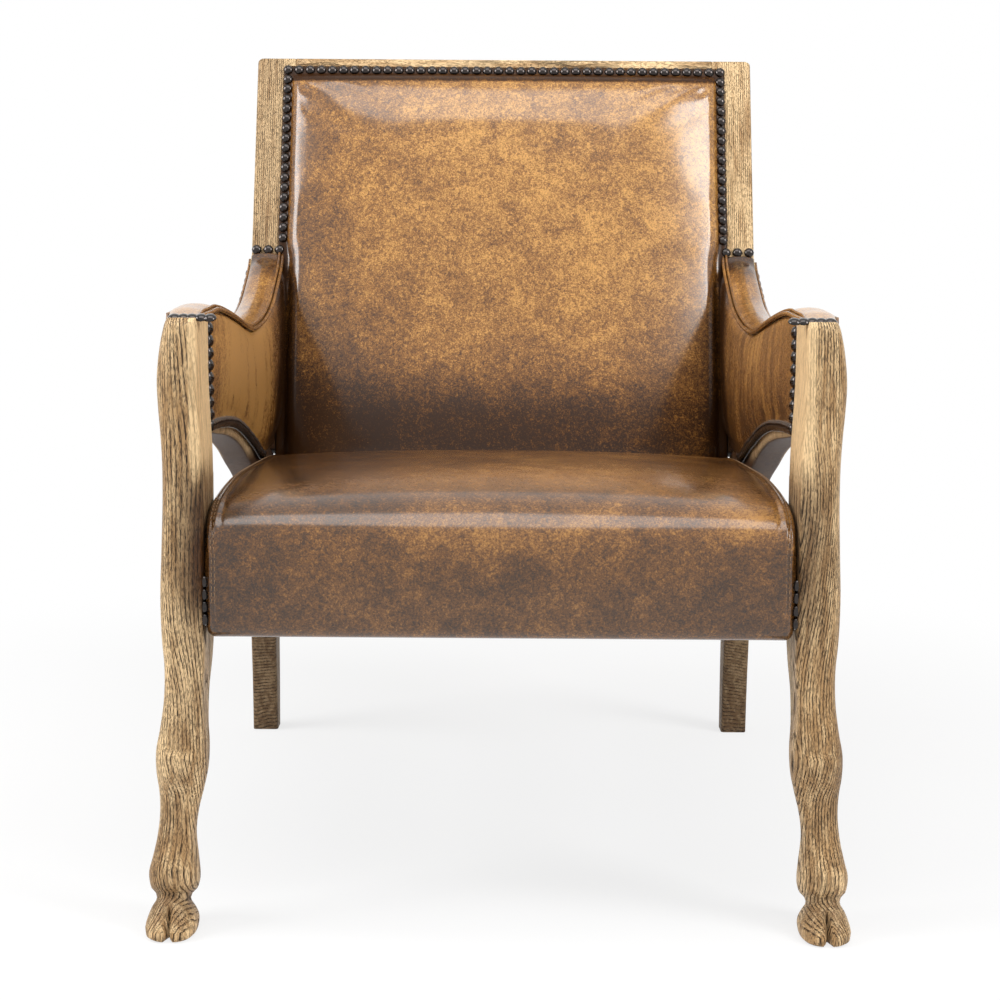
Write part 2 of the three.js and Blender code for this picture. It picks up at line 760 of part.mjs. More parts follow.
function armRing({ point, up }, outline) {
  return outline.map(([x, n]) => new THREE.Vector3(x, point.x + up.x * n, point.y + up.y * n));
}

function armPad() {
  const { smoothstep, lerp } = THREE.MathUtils;
  const fullness = (share) => {
    const front = lerp(arm_pad_front_share, 1, smoothstep(share, 0, arm_pad_front_run_share));
    const rear = lerp(arm_pad_rear_share, 1, smoothstep(1 - share, 0, arm_pad_rear_run_share));
    return front * rear;
  };
  const rings = armFrames().map((frame) => armRing(frame, arm_pad_section_shares.map(([across, rise]) => [
    arm_pad_inner_x + across * arm_pad_width,
    fit_gap + rise * arm_pad_crown * fullness(frame.share),
  ])));
  return cut(loft(rings), behindStiles(fit_gap));
}

function armRail() {
  const outline = [
    [side_inner_x, -fit_gap], [side_outer_x, -fit_gap],
    [side_outer_x, -arm_rail_height], [side_inner_x, -arm_rail_height],
  ];
  const rings = armFrames().map((frame) => armRing(frame, outline));
  const front = box(
    [0, side_outer_x + cut_overrun],
    [-cut_overrun, arch_front_y],
    [0, arm_height + cut_overrun],
  );
  const rail = cut(loft(rings), front, behindStiles(fit_gap));
  return join(rail, box(...sideTenon(arm_tenon_shares, side_tenon_length)));
}

function armWelt() {
  const x = arm_pad_inner_x - fit_gap - welt_radius;
  const points = armFrames().map(({ point }) => new THREE.Vector3(x, point.x, point.y));
  const corners = [];
  for (let i = 0; i < welt_sides; i += 1) {
    const angle = (i / welt_sides) * 2 * Math.PI;
    corners.push(new THREE.Vector2(Math.cos(angle), Math.sin(angle)).multiplyScalar(welt_radius));
  }
  const extrudePath = new THREE.CatmullRomCurve3(points);
  const shape = new THREE.Shape(corners);
  const welt = new THREE.ExtrudeGeometry(shape, { extrudePath, steps: arm_line_stations });
  return cut(welt, behindStiles(2 * fit_gap + back_cover_border));
}

// The lower edge of the panels: along the bare wood of the arch, and clear above the seat
function panelLow(y) {
  const seat_line = seat_stations.map(({ y: seat_y, top, crown }) => [seat_y, top + crown]);
  return Math.max(heightOn(panel_lower_line, y), heightOn(seat_line, y) + panel_seat_gap);
}

function panelHigh(y) {
  return heightOn(arm_line, y) - welt_radius - fit_gap;
}

function insidePanelFace() {
  return side_inner_x - fit_gap - inside_panel_thickness;
}

function insidePanel() {
  const outer = side_inner_x - fit_gap;
  const face = insidePanelFace();
  const [front, rear] = [panel_station_shares[1], panel_station_shares[panel_station_shares.length - 1]];
  const rings = panel_station_shares.map((share) => {
    const y = arch_front_y + share * side_run;
    const low = panelLow(y);
    const high = panelHigh(y);
    const padded = low + panel_border;
    const bulge = inside_panel_bulge * Math.sqrt(Math.max(0, share - front) / (rear - front));
    const bowed = panel_section_shares
      .map(([up, out]) => [face - bulge * out, padded + up * (high - padded)]);
    return [[outer, low], [face, low], [face, padded], ...bowed, [face, high], [outer, high]]
      .map(([x, z]) => new THREE.Vector3(x, y, z));
  });
  return cut(loft(rings), behindStiles(2 * fit_gap + back_cover_border));
}

function outsidePanel() {
  const inner = side_outer_x + fit_gap;
  const outer = inner + outside_panel_thickness;
  const rings = panel_station_shares.map((share) => {
    const y = arch_front_y + share * side_run;
    const [low, high] = [panelLow(y), heightOn(arm_line, y)];
    return [[inner, low], [outer, low], [outer, high], [inner, high]]
      .map(([x, z]) => new THREE.Vector3(x, y, z));
  });
  return cut(loft(rings), behindStiles(fit_gap));
}

// Nail rows

// A strip along a route, wide and tall at each nail head and narrow between them
function nailStrip(route, normal, pitch) {
  const path = new THREE.CurvePath();
  for (let i = 1; i < route.length; i += 1) path.add(new THREE.LineCurve3(route[i - 1], route[i]));
  const count = Math.max(1, Math.round(path.getLength() / pitch));
  const rings = [];
  for (let i = 0; i <= 2 * count; i += 1) {
    const share = i / (2 * count);
    const ahead = path.getPoint(Math.min(1, share + route_step_share / count));
    const behind = path.getPoint(Math.max(0, share - route_step_share / count));
    const across = ahead.sub(behind).normalize().cross(normal).normalize();
    const head = i % 2 === 1;
    const width = head ? nail_radius : strip_half_width;
    const rise = head ? nail_height : strip_height;
    const point = path.getPoint(share);
    rings.push([
      point.clone().addScaledVector(across, width),
      point.clone().addScaledVector(normal, rise),
      point.clone().addScaledVector(across, -width),
    ]);
  }
  return loft(rings);
}

const facing = {
  front: new THREE.Vector3(0, -1, 0),
  rear: new THREE.Vector3(0, 1, 0),
  up: new THREE.Vector3(0, 0, 1),
  inward: new THREE.Vector3(-1, 0, 0),
  outward: new THREE.Vector3(1, 0, 0),
};

function nailRoute(points) {
  return points.map(([x, y, z]) => new THREE.Vector3(x, y, z));
}

function backNails() {
  const y = -2 * fit_gap - back_cover_border;
  const x = back_cover_half_width - back_nail_in;
  const top = back_cover_top - back_nail_in;
  const bottom = back_cover_step + back_nail_lead;
  const route = nailRoute([[-x, y, bottom], [-x, y, top], [x, y, top], [x, y, bottom]]);
  return nailStrip(route, facing.front, nail_pitch);
}

function outsideBackNails() {
  const y = stile_depth + 2 * fit_gap + outside_back_thickness;
  const [[, x], , [bottom, back_top]] = outsideBack();
  const side = x - outside_back_nail_in;
  const top = back_top - outside_back_nail_in;
  const route = nailRoute([[-side, y, bottom], [-side, y, top], [side, y, top], [side, y, bottom]]);
  return nailStrip(route, facing.rear, outside_nail_pitch);
}

function stileNails() {
  const up_back = (arm_top_z - back_pivot_z) / Math.cos(back_recline) + nail_radius + fit_gap;
  const ends = [side_inner_x + stile_nail_inset, side_outer_x - stile_chamfer];
  const route = nailRoute(ends.map((x) => [x, -fit_gap, up_back]));
  return nailStrip(route, facing.front, nail_pitch);
}

function armFrontNails() {
  const y = leg_depth - arm_front_nail_setback;
  const z = arm_height + fit_gap;
  const [, , top_outward] = leg_station_shares[leg_station_shares.length - 1];
  const from_x = arm_pad_inner_x - inside_panel_thickness;
  const to_x = side_outer_x + side_thickness * top_outward;
  return nailStrip(nailRoute([[from_x, y, z], [to_x, y, z]]), facing.up, arm_front_nail_pitch);
}

function panelNailRoute(x) {
  const front_y = arch_front_y + panel_nail_in;
  const end_y = arch_front_y + panel_nail_end_share * side_run;
  const lower = panel_lower_line.filter(([y]) => y > front_y && y < end_y);
  return nailRoute([
    [x, front_y, panelHigh(front_y) - panel_nail_in],
    [x, front_y, panelLow(arch_front_y) + panel_nail_in],
    ...lower.map(([y]) => [x, y, panelLow(y) + panel_nail_in]),
  ]);
}

function insideArmNails() {
  return nailStrip(panelNailRoute(insidePanelFace() - fit_gap), facing.inward, small_nail_pitch);
}

function outsideArmNails() {
  const x = side_outer_x + 2 * fit_gap + outside_panel_thickness;
  const lower = panelNailRoute(x).reverse();
  const front_y = arch_front_y + panel_nail_in;
  const upper = armFrames().filter(({ point }) => point.x > front_y + nail_radius)
    .map(({ point, up }) => [
      x,
      point.x - up.x * outside_top_nail_drop,
      point.y - up.y * outside_top_nail_drop,
    ]);
  const route = [...lower, ...nailRoute(upper.slice(0, -1))];
  return nailStrip(route, facing.outward, outside_nail_pitch);
}

function seatNails() {
  const x = seat_half_width - seat_nail_in;
  const y = seat_front_y - fit_gap;
  const top_z = seat_nail_bottom_z + seat_nail_run;
  const route = nailRoute([[x, y, top_z], [x, y, seat_nail_bottom_z]]);
  return nailStrip(route, facing.front, small_nail_pitch);
}

// Assembly

function add(parent, name, geometry, finish) {
  const shaped = geometry.index ? geometry.toNonIndexed() : geometry;
  shaped.computeVertexNormals();
  const mesh = new THREE.Mesh(shaped, new THREE.MeshStandardMaterial(finish));
  mesh.name = name;
  parent.add(mesh);
}

function rakedGroup(parent) {
  const group = new THREE.Group();
  group.position.set(0, back_pivot_y, back_pivot_z);
  group.rotation.x = -back_recline;
  parent.add(group);
  return group;
}

function addSide(chair, side) {
  const half = new THREE.Group();
  half.scale.x = side === 'left' ? -1 : 1;
  chair.add(half);
  add(half, `front_leg_${side}`, frontLeg(), oak);
  add(half, `rear_leg_${side}`, rearLeg(), oak);
  add(half, `arm_rail_${side}`, armRail(), hidden_wood);
  add(half, `arm_pad_${side}`, armPad(), leather);
  add(half, `arm_welt_${side}`, armWelt(), leather);
  add(half, `inside_arm_${side}`, insidePanel(), leather);
  add(half, `outside_arm_${side}`, outsidePanel(), leather);
  add(half, `nails_arm_front_${side}`, armFrontNails(), bronze);
  add(half, `nails_inside_arm_${side}`, insideArmNails(), bronze);
  add(half, `nails_outside_arm_${side}`, outsideArmNails(), bronze);
  add(half, `nails_seat_${side}`, seatNails(), bronze);
  add(half, `side_seat_rail_${side}`, box(
    sideRailX(),
    [front_rail.back_y + fit_gap, rear_rail.front_y - fit_gap],
    [rail_bottom_z, rail_top_z],
  ), hidden_wood);
  add(half, `corner_block_front_${side}`, cornerBlock(true), hidden_wood);
  add(half, `corner_block_rear_${side}`, cornerBlock(false), hidden_wood);
  const raked = rakedGroup(half);
  add(raked, `back_stile_${side}`, backStile(), oak);
  add(raked, `nails_stile_${side}`, stileNails(), bronze);
}

// Places of the straps, evenly between two ends
function strapPlaces(from, to) {
  const pitch = (to - from) / seat_webbing_count;
  return Array.from({ length: seat_webbing_count }, (_, i) => from + (i + 0.5) * pitch);
}

function addSeat(chair) {
  const [rail_inner, rail_outer] = sideRailX();
  const front_shoulder = seat_half_width - seat_cover_skin - 2 * fit_gap;
  add(chair, 'front_seat_rail', crossRail(front_rail, front_shoulder, seat_half_width), hidden_wood);
  add(chair, 'rear_seat_rail', crossRail(rear_rail, side_inner_x - fit_gap, side_inner_x), hidden_wood);
  const long_z = [rail_top_z + fit_gap, rail_top_z + fit_gap + webbing_thickness];
  const cross_z = long_z.map((z) => z + webbing_thickness + fit_gap);
  const half = webbing_width / 2;
  strapPlaces(-rail_inner, rail_inner).forEach((x, i) => add(chair, `seat_webbing_long_${i + 1}`, box(
    [x - half, x + half],
    [front_rail.back_y - webbing_bearing, rear_rail.front_y + webbing_bearing],
    long_z,
  ), jute));
  strapPlaces(front_rail.back_y, seat_depth).forEach((y, i) => add(chair, `seat_webbing_cross_${i + 1}`, box(
    [-rail_inner - webbing_bearing, rail_inner + webbing_bearing],
    [y - half, y + half],
    cross_z,
  ), jute));
  add(chair, 'seat_foam', seatFoam(), foam);
  add(chair, 'seat_cover', seatCover(), leather);
  add(chair, 'rear_border', box(
    [-side_inner_x + fit_gap, side_inner_x - fit_gap],
    [rear_rail.back_y + fit_gap, rear_rail.back_y + fit_gap + rear_border_thickness],
    [rail_bottom_z, rail_top_z + rear_border_rise],
  ), leather);
  add(chair, 'dust_cover', box(
    [-rail_outer, rail_outer],
    [front_rail.front_y + dust_cover_edge, rear_rail.back_y - dust_cover_edge],
    [rail_bottom_z - fit_gap - dust_cover_thickness, rail_bottom_z - fit_gap],
  ), black_cloth);
}

function outsideBack() {
  const half = side_inner_x - 3 * fit_gap;
  return [
    [-half, half],
    [stile_depth + fit_gap, stile_depth + fit_gap + outside_back_thickness],
    [-lower_rail_drop, back_height - outside_back_drop],
  ];
}

function addBack(chair) {
  const raked = rakedGroup(chair);
  add(raked, 'top_rail', backRail(topRailHeights()), oak);
  add(raked, 'lower_back_rail', backRail(lowerRailHeights()), hidden_wood);
  back_webbing_shares.forEach((share, i) => {
    add(raked, `back_webbing_${i + 1}`, box(...backWebbing(share)), jute);
  });
  add(raked, 'back_foam', backCavity(0), foam);
  add(raked, 'back_cover', backCover(), leather);
  add(raked, 'nails_back', backNails(), bronze);
  add(raked, 'outside_back', box(...outsideBack()), leather);
  add(raked, 'nails_outside_back', outsideBackNails(), bronze);
}

const chair = new THREE.Group();
addSide(chair, 'left');
addSide(chair, 'right');
addSeat(chair);
addBack(chair);

// The origin lies on the floor, under the middle of the chair
const extent = new THREE.Box3().setFromObject(chair, true);
const middle = extent.getCenter(new THREE.Vector3());
chair.position.set(-middle.x, -middle.y, -extent.min.z);
const part = new THREE.Group();
part.add(chair);

export default part;
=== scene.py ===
import math

import bmesh
import bpy
from bpy.props import FloatProperty, FloatVectorProperty, PointerProperty
from mathutils import Matrix, Vector, noise


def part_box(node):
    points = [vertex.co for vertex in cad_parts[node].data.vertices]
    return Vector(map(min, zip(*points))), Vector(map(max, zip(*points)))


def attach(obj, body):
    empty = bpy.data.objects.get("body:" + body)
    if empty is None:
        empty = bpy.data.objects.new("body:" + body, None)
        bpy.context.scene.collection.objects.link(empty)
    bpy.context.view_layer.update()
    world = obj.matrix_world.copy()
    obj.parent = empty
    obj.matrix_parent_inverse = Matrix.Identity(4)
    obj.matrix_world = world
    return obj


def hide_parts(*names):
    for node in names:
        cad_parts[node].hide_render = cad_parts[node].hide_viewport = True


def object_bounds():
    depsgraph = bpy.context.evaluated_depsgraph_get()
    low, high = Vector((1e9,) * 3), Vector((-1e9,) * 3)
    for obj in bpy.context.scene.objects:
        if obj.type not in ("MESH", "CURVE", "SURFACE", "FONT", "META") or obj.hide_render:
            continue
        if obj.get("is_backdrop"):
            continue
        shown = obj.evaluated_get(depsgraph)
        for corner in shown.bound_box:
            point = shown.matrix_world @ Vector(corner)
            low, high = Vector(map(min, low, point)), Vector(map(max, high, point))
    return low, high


bl_info = {
    "name": "Hoof-leg armchair",
    "version": (1, 0, 0),
    "blender": (4, 5, 0),
    "location": "3D View > Sidebar > Armchair",
    "description": "Models an open armchair with carved goat legs and nailed leather upholstery",
    "category": "Add Mesh",
}

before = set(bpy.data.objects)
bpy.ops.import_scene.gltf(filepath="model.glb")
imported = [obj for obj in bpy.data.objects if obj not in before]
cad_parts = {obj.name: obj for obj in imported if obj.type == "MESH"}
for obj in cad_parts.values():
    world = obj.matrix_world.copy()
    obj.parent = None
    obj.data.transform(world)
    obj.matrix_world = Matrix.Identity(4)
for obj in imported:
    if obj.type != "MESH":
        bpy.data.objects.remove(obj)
CAD_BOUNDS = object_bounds()

# Measures of the frame, in millimetres in the chair's own measure: x from the middle,
# y back from the face of the front legs, z up from the floor
MM = 0.001
FIT_GAP = 0.3
SIDE_INNER_X = 308
SIDE_THICKNESS = 35
SIDE_OUTER_X = SIDE_INNER_X + SIDE_THICKNESS
ARM_HEIGHT = 634
LEG_DEPTH = 76
HOOF_REACH_SHARE = 0.32
FACE_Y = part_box("front_leg_right")[0].y / MM + HOOF_REACH_SHARE * LEG_DEPTH
BACK_RECLINE = math.radians(18.5)
BACK_PIVOT_Y = 625.8
BACK_PIVOT_Z = 420
BACK_HEIGHT = 555
STILE_WIDTH = 53.4
STILE_INNER_X = SIDE_OUTER_X - STILE_WIDTH
STILE_DEPTH = 38
TOP_RAIL_HEIGHT = 44
ARCH_FRONT_Y = LEG_DEPTH + FIT_GAP
SIDE_RUN = BACK_PIVOT_Y - ARCH_FRONT_Y

SIDES = {"left": -1, "right": 1}


def at(x, y, z):
    """A point given in millimetres in the chair's own measure, in the frame's metres."""
    return Vector((x * MM, (FACE_Y + y) * MM, z * MM))


def on_back(x, depth, rise):
    """A point in the plane of the raked back: depth behind the stiles' front, rise up them."""
    y = BACK_PIVOT_Y + depth * math.cos(BACK_RECLINE) + rise * math.sin(BACK_RECLINE)
    z = BACK_PIVOT_Z - depth * math.sin(BACK_RECLINE) + rise * math.cos(BACK_RECLINE)
    return at(x, y, z)


BACK_UP = Vector((0, math.sin(BACK_RECLINE), math.cos(BACK_RECLINE)))
BACK_REARWARD = Vector((0, math.cos(BACK_RECLINE), -math.sin(BACK_RECLINE)))


def on_side(along, up):
    """Shares of the side's run and of the arm height as y and z in millimetres."""
    return ARCH_FRONT_Y + along * SIDE_RUN, up * ARM_HEIGHT


def ease(value, low, high):
    """0 up to low, 1 from high on, and a smooth step between."""
    share = min(1.0, max(0.0, (value - low) / (high - low)))
    return share * share * (3 - 2 * share)


def plateau(value, rise_low, rise_high, fall_low, fall_high):
    """1 from the end of the rise to the start of the fall, and 0 outside both."""
    return ease(value, rise_low, rise_high) * (1 - ease(value, fall_low, fall_high))


def steps(count):
    """Equal steps from 0 to 1."""
    return [k / count for k in range(count + 1)]


def turns(count):
    """The cosines and sines of equal turns round a circle."""
    angles = [2 * math.pi * k / count for k in range(count)]
    return [(math.cos(angle), math.sin(angle)) for angle in angles]


def hump(value, middle, reach):
    """1 at the middle, falling smoothly to 0 at the reach on either side."""
    return 1 - ease(abs(value - middle), 0, reach)


def smooth_rows(rows, step, corners=()):
    """Rows of numbers on a smooth curve through the rows given, about a step apart."""
    pairs = list(zip(rows, rows[1:]))
    lengths = [math.dist(a[:2], b[:2]) for a, b in pairs]
    slopes = [
        [(q - p) / length for p, q in zip(a, b)] for (a, b), length in zip(pairs, lengths)
    ]

    def lean(i, segment):
        if i in corners or i in (0, len(rows) - 1):
            return slopes[segment]
        before, after = lengths[i - 1], lengths[i]
        return [
            (after * p + before * q) / (before + after)
            for p, q in zip(slopes[i - 1], slopes[i])
        ]

    found = []
    for i, ((start, end), length) in enumerate(zip(pairs, lengths)):
        leaving, coming = lean(i, i), lean(i + 1, i)
        count = max(1, round(length / step))
        for k in range(count):
            t = k / count
            found.append([
                p * (2 * t ** 3 - 3 * t ** 2 + 1) + m * length * (t ** 3 - 2 * t ** 2 + t)
                + q * (3 * t ** 2 - 2 * t ** 3) + n * length * (t ** 3 - t ** 2)
                for p, q, m, n in zip(start, end, leaving, coming)
            ])
    found.append(list(rows[-1]))
    return found


def height_on(line, y):
    """The height of a line of y and z points at a place along y."""
    for (y0, z0), (y1, z1) in zip(line, line[1:]):
        if y <= y1:
            return z0 + (z1 - z0) * (y - y0) / (y1 - y0)
    return line[-1][1]


def spread(line, pitch):
    """Points a pitch apart along a line of vectors, centred on it, each with its direction."""
    lengths = [(b - a).length for a, b in zip(line, line[1:])]
    total = sum(lengths)
    count = max(1, round(total / pitch))
    found = []
    for i in range(count):
        left = (i + 0.5) * total / count
        for a, b, length in zip(line, line[1:], lengths):
            if left <= length:
                found.append((a.lerp(b, left / length), (b - a).normalized()))
                break
            left -= length
    return found


# Meshes

def ring_edges(bm, ring):
    return [bm.edges.get(pair) for pair in zip(ring, ring[1:] + ring[:1])]


def extend(bm, ring, places):
    """Extrudes a closed ring of vertices and moves the new ring to its places."""
    made = bmesh.ops.extrude_edge_only(bm, edges=ring_edges(bm, ring))["geom"]
    fresh = {part for part in made if isinstance(part, bmesh.types.BMVert)}
    following = []
    for vert, place in zip(ring, places):
        twin = next(e.other_vert(vert) for e in vert.link_edges if e.other_vert(vert) in fresh)
        twin.co = place
        following.append(twin)
    return following


def close(bm, ring):
    """Fills a ring with a fan round its middle."""
    cap = bmesh.ops.contextual_create(bm, geom=ring_edges(bm, ring))["faces"]
    bmesh.ops.poke(bm, faces=cap)


def loft(bm, rings, closed=True):
    """A body through rings of equally many points. Its ends are capped, or where they have
    shrunk to a line or point, drawn together."""
    made = bmesh.ops.create_circle(bm, cap_ends=False, radius=MM, segments=len(rings[0]))
    first = list(made["verts"])
    for vert, place in zip(first, rings[0]):
        vert.co = place
    last = first
    for places in rings[1:]:
        last = extend(bm, last, places)
    if closed:
        close(bm, first)
        close(bm, last)
    else:
        bmesh.ops.remove_doubles(bm, verts=bm.verts, dist=MM / 50)


def trim_behind(bm, clearance):
    """Cuts away what lies behind the plane of the back's front, less a clearance."""
    geometry = [*bm.verts, *bm.edges, *bm.faces]
    place = on_back(0, -clearance, 0)
    bmesh.ops.bisect_plane(
        bm, geom=geometry, plane_co=place, plane_no=BACK_REARWARD, clear_outer=True,
    )
    bmesh.ops.holes_fill(bm, edges=[edge for edge in bm.edges if edge.is_boundary])


def finish(bm, name, material, stands_for=()):
    """Makes a piece of a bmesh, on the root body, in place of the frame's nodes."""
    bmesh.ops.recalc_face_normals(bm, faces=bm.faces)
    mesh = bpy.data.meshes.new(name)
    bm.to_mesh(mesh)
    bm.free()
    piece = bpy.data.objects.new(name, mesh)
    bpy.context.scene.collection.objects.link(piece)
    for face in mesh.polygons:
        face.use_smooth = True
    mesh.materials.append(material)
    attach(piece, "root")
    if stands_for:
        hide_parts(*stands_for)
    return piece


def shape(rings, name, material, stands_for, closed=True, behind=None):
    """A piece lofted through rings. behind cuts it off that far in front of the back."""
    bm = bmesh.new()
    loft(bm, rings, closed)
    if behind is not None:
        trim_behind(bm, behind)
    return finish(bm, name, material, stands_for)


def stuff(piece, held=None, most=0.0):
    """Swells a padded piece where held is given, and rounds it off."""
    if held:
        puff(piece, held, most)
    rounding = piece.modifiers.new("rounding", "SUBSURF")
    rounding.levels = rounding.render_levels = 1


CLOTH_SETTINGS = {
    "quality": 5, "tension_stiffness": 25, "compression_stiffness": 25, "shear_stiffness": 15,
    "bending_stiffness": 2, "use_pressure": True, "uniform_pressure_force": 4,
}
CLOTH_FRAMES = 20


def puff(piece, held, most):
    """Swells a closed pad by a cloth simulation, and keeps each point within a distance of
    where it was. held tells from a place whether the leather is tacked down there."""
    rest = [vert.co.copy() for vert in piece.data.vertices]
    tacked = piece.vertex_groups.new(name="tacked")
    tacked.add([i for i, place in enumerate(rest) if held(place)], 1.0, "REPLACE")
    swelling = piece.modifiers.new("swelling", "CLOTH")
    cloth = swelling.settings
    for key, value in CLOTH_SETTINGS.items():
        setattr(cloth, key, value)
    cloth.vertex_group_mass = tacked.name
    cloth.effector_weights.gravity = 0
    swelling.point_cache.frame_start = 1
    swelling.point_cache.frame_end = CLOTH_FRAMES
    scene = bpy.context.scene
    for step in range(1, CLOTH_FRAMES + 1):
        scene.frame_set(step)
    shaped = piece.evaluated_get(bpy.context.evaluated_depsgraph_get())
    swollen = [vert.co.copy() for vert in shaped.data.vertices]
    piece.modifiers.remove(swelling)
    scene.frame_set(1)
    for vert, start, end in zip(piece.data.vertices, rest, swollen):
        move = end - start
        if move.length > most:
            move.length = most
        vert.co = start + move


# Shader maths

def maths(operation, turned=False):
    """A method that joins a wire and another value, if any, by a Math node."""
    def joined(wire, *other):
        values = (*other, wire) if turned else (wire, *other)
        sockets = dict(enumerate(values))
        return wire.nodes.node("ShaderNodeMath", {"operation": operation}, sockets)

    return joined


class Wire:
    """One output of a shader node. An expression on wires adds the Math nodes it needs."""

    def __init__(self, nodes, socket):
        self.nodes = nodes
        self.socket = socket

    __add__ = __radd__ = maths("ADD")
    __sub__ = maths("SUBTRACT")
    __rsub__ = maths("SUBTRACT", turned=True)
    __mul__ = __rmul__ = maths("MULTIPLY")
    __truediv__ = maths("DIVIDE")
    __abs__ = maths("ABSOLUTE")
    fraction = maths("FRACT")
    root = maths("SQRT")
    least = maths("MINIMUM")
    most = maths("MAXIMUM")


class Nodes:
    """The nodes of a material or a world that is being made."""

    def __init__(self, owner):
        owner.use_nodes = True
        self.tree = owner.node_tree

    def node(self, kind, settings=None, sockets=None, out=0):
        """Adds a node: its settings, a ramp's stops, then its sockets' values or wires."""
        made = self.tree.nodes.new(kind)
        for key, value in (settings or {}).items():
            if key == "stops":
                stops = made.color_ramp.elements
                while len(stops) < len(value):
                    stops.new(1.0)
                for stop, (place, colour) in zip(stops, value):
                    stop.position = place
                    stop.color = colour
            else:
                setattr(made, key, value)
        for key, value in (sockets or {}).items():
            if isinstance(value, Wire):
                self.tree.links.new(value.socket, made.inputs[key])
            else:
                made.inputs[key].default_value = value
        return Wire(self, made.outputs[out])

    def seeing(self):
        """1 for the rays that see the white background: the camera's, and those that gloss
        and glass show."""
        kinds = ("Is Camera Ray", "Is Glossy Ray", "Is Transmission Ray")
        camera, glossy, clear = [self.node("ShaderNodeLightPath", out=kind) for kind in kinds]
        return camera + glossy + clear

    def surface(self, share, lit, shown):
        """Ends the tree in a mix of what lights the object and what those rays see."""
        both = self.node("ShaderNodeMixShader", sockets={0: share, 1: lit, 2: shown})
        output = next(node for node in self.tree.nodes if node.name.endswith("Output"))
        self.tree.links.new(both.socket, output.inputs["Surface"])


class Finish(Nodes):
    """A material being made: a Principled shader and the nodes that feed it."""

    def __init__(self, name, **constants):
        self.material = bpy.data.materials.new(name)
        super().__init__(self.material)
        self.shader = self.tree.nodes["Principled BSDF"]
        for socket, value in constants.items():
            self.shader.inputs[socket.replace("_", " ")].default_value = value

    def place(self):
        return self.node("ShaderNodeTexCoord", out="Object")

    def split(self, vector):
        """The x, y and z of a vector, in metres."""
        parts = self.node("ShaderNodeSeparateXYZ", sockets={0: vector})
        outputs = parts.socket.node.outputs
        return [Wire(self, outputs[i]) for i in range(3)]

    def stretched(self, vector, scale, turn=(0, 0, 0), shift=(0, 0, 0)):
        sockets = {"Vector": vector, "Scale": scale, "Rotation": turn, "Location": shift}
        return self.node("ShaderNodeMapping", sockets=sockets)

    def noise(self, vector, scale, detail=2, roughness=0.5, distortion=0):
        sockets = {
            "Vector": vector, "Scale": scale, "Detail": detail, "Roughness": roughness,
            "Distortion": distortion,
        }
        return self.node("ShaderNodeTexNoise", sockets=sockets)

    def along(self, vector, share, scale, detail):
        """Noise that is drawn out along z, to 1 / share of its length."""
        return self.noise(self.stretched(vector, (1, 1, share)), scale, detail)

    def step(self, value, low, high):
        """0 below low, 1 above high, smooth between them."""
        settings = {"interpolation_type": "SMOOTHSTEP"}
        sockets = {"Value": value, "From Min": low, "From Max": high}
        return self.node("ShaderNodeMapRange", settings, sockets)

    def fade(self, value, low, high):
        """1 below low, 0 above high, smooth between them."""
        return 1 - self.step(value, low, high)

    def band(self, value, rise_low, rise_high, fall_low, fall_high):
        """1 from the end of the rise to the start of the fall, and 0 outside both."""
        return self.step(value, rise_low, rise_high) * self.fade(value, fall_low, fall_high)

    def ramp(self, value, stops):
        return self.node("ShaderNodeValToRGB", {"stops": stops}, {0: value})

    def mix(self, factor, first, second, blend="MIX"):
        settings = {"data_type": "RGBA", "blend_type": blend}
        return self.node("ShaderNodeMix", settings, {0: factor, 6: first, 7: second}, out=2)

    def bump(self, height, distance, strength=1):
        sockets = {"Height": height, "Distance": distance, "Strength": strength}
        return self.node("ShaderNodeBump", sockets=sockets)

    def feed(self, **wires):
        """Joins wires to the shader's sockets and gives the material."""
        for socket, wire in wires.items():
            self.tree.links.new(wire.socket, self.shader.inputs[socket.replace("_", " ")])
        return self.material


def paint(red, green, blue):
    """A colour named as it shows on a screen, 0 to 255, as the shader's own values."""
    parts = [c / 255 for c in (red, green, blue)]
    return (*[c / 12.92 if c <= 0.04045 else ((c + 0.055) / 1.055) ** 2.4 for c in parts], 1.0)


# Settings

def length(name, description, default, least=0.0):
    return FloatProperty(
        name=name, description=description, default=default, min=least, unit="LENGTH",
    )


def colour(name, description, *screen):
    return FloatVectorProperty(
        name=name, description=description, default=paint(*screen), size=4, min=0, max=1,
        subtype="COLOR",
    )


class ChairSizes(bpy.types.PropertyGroup):
    """Sizes of the details that are modelled here."""

    nail_radius: length("Nail radius", "Radius of a domed nail head", 0.0069, 0.001)
    nail_height: length(
        "Nail height", "How far a nail head stands off the leather", 0.0042, 0.001,
    )
    back_swell: length("Back swell", "The most that the stuffing pushes the back out", 0.005)
    seat_swell: length("Seat swell", "The most that the stuffing pushes the seat out", 0.005)
    cleft_depth: length("Cleft depth", "Depth of the cut between the toes of a hoof", 0.014)
    stitch_length: length(
        "Stitch length", "Length of one stitch along the seat's seams", 0.0042, 0.001,
    )


class ChairColours(bpy.types.PropertyGroup):
    """The main colours."""

    oak: colour("Oak", "The wood between its grain lines", 250, 214, 162)
    grain: colour("Grain", "The open grain lines of the wood", 50, 32, 15)
    # The leather's tones; the ramp also reaches gold for painted light and brown for painted shade
    gold: colour("Gold", "The leather where it is pulled tight and rubbed", 214, 160, 85)
    tan: colour("Tan", "The leather's middle tone", 146, 98, 43)
    brown: colour("Brown", "The leather where its wax is thick", 51, 28, 8)
    bronze: colour("Bronze", "The nail heads", 40, 29, 24)


def size(key):
    """A chosen size, in metres."""
    return getattr(bpy.context.scene.chair_sizes, key)


def chosen(key):
    """A chosen colour."""
    return tuple(getattr(bpy.context.scene.chair_colours, key))


# Materials

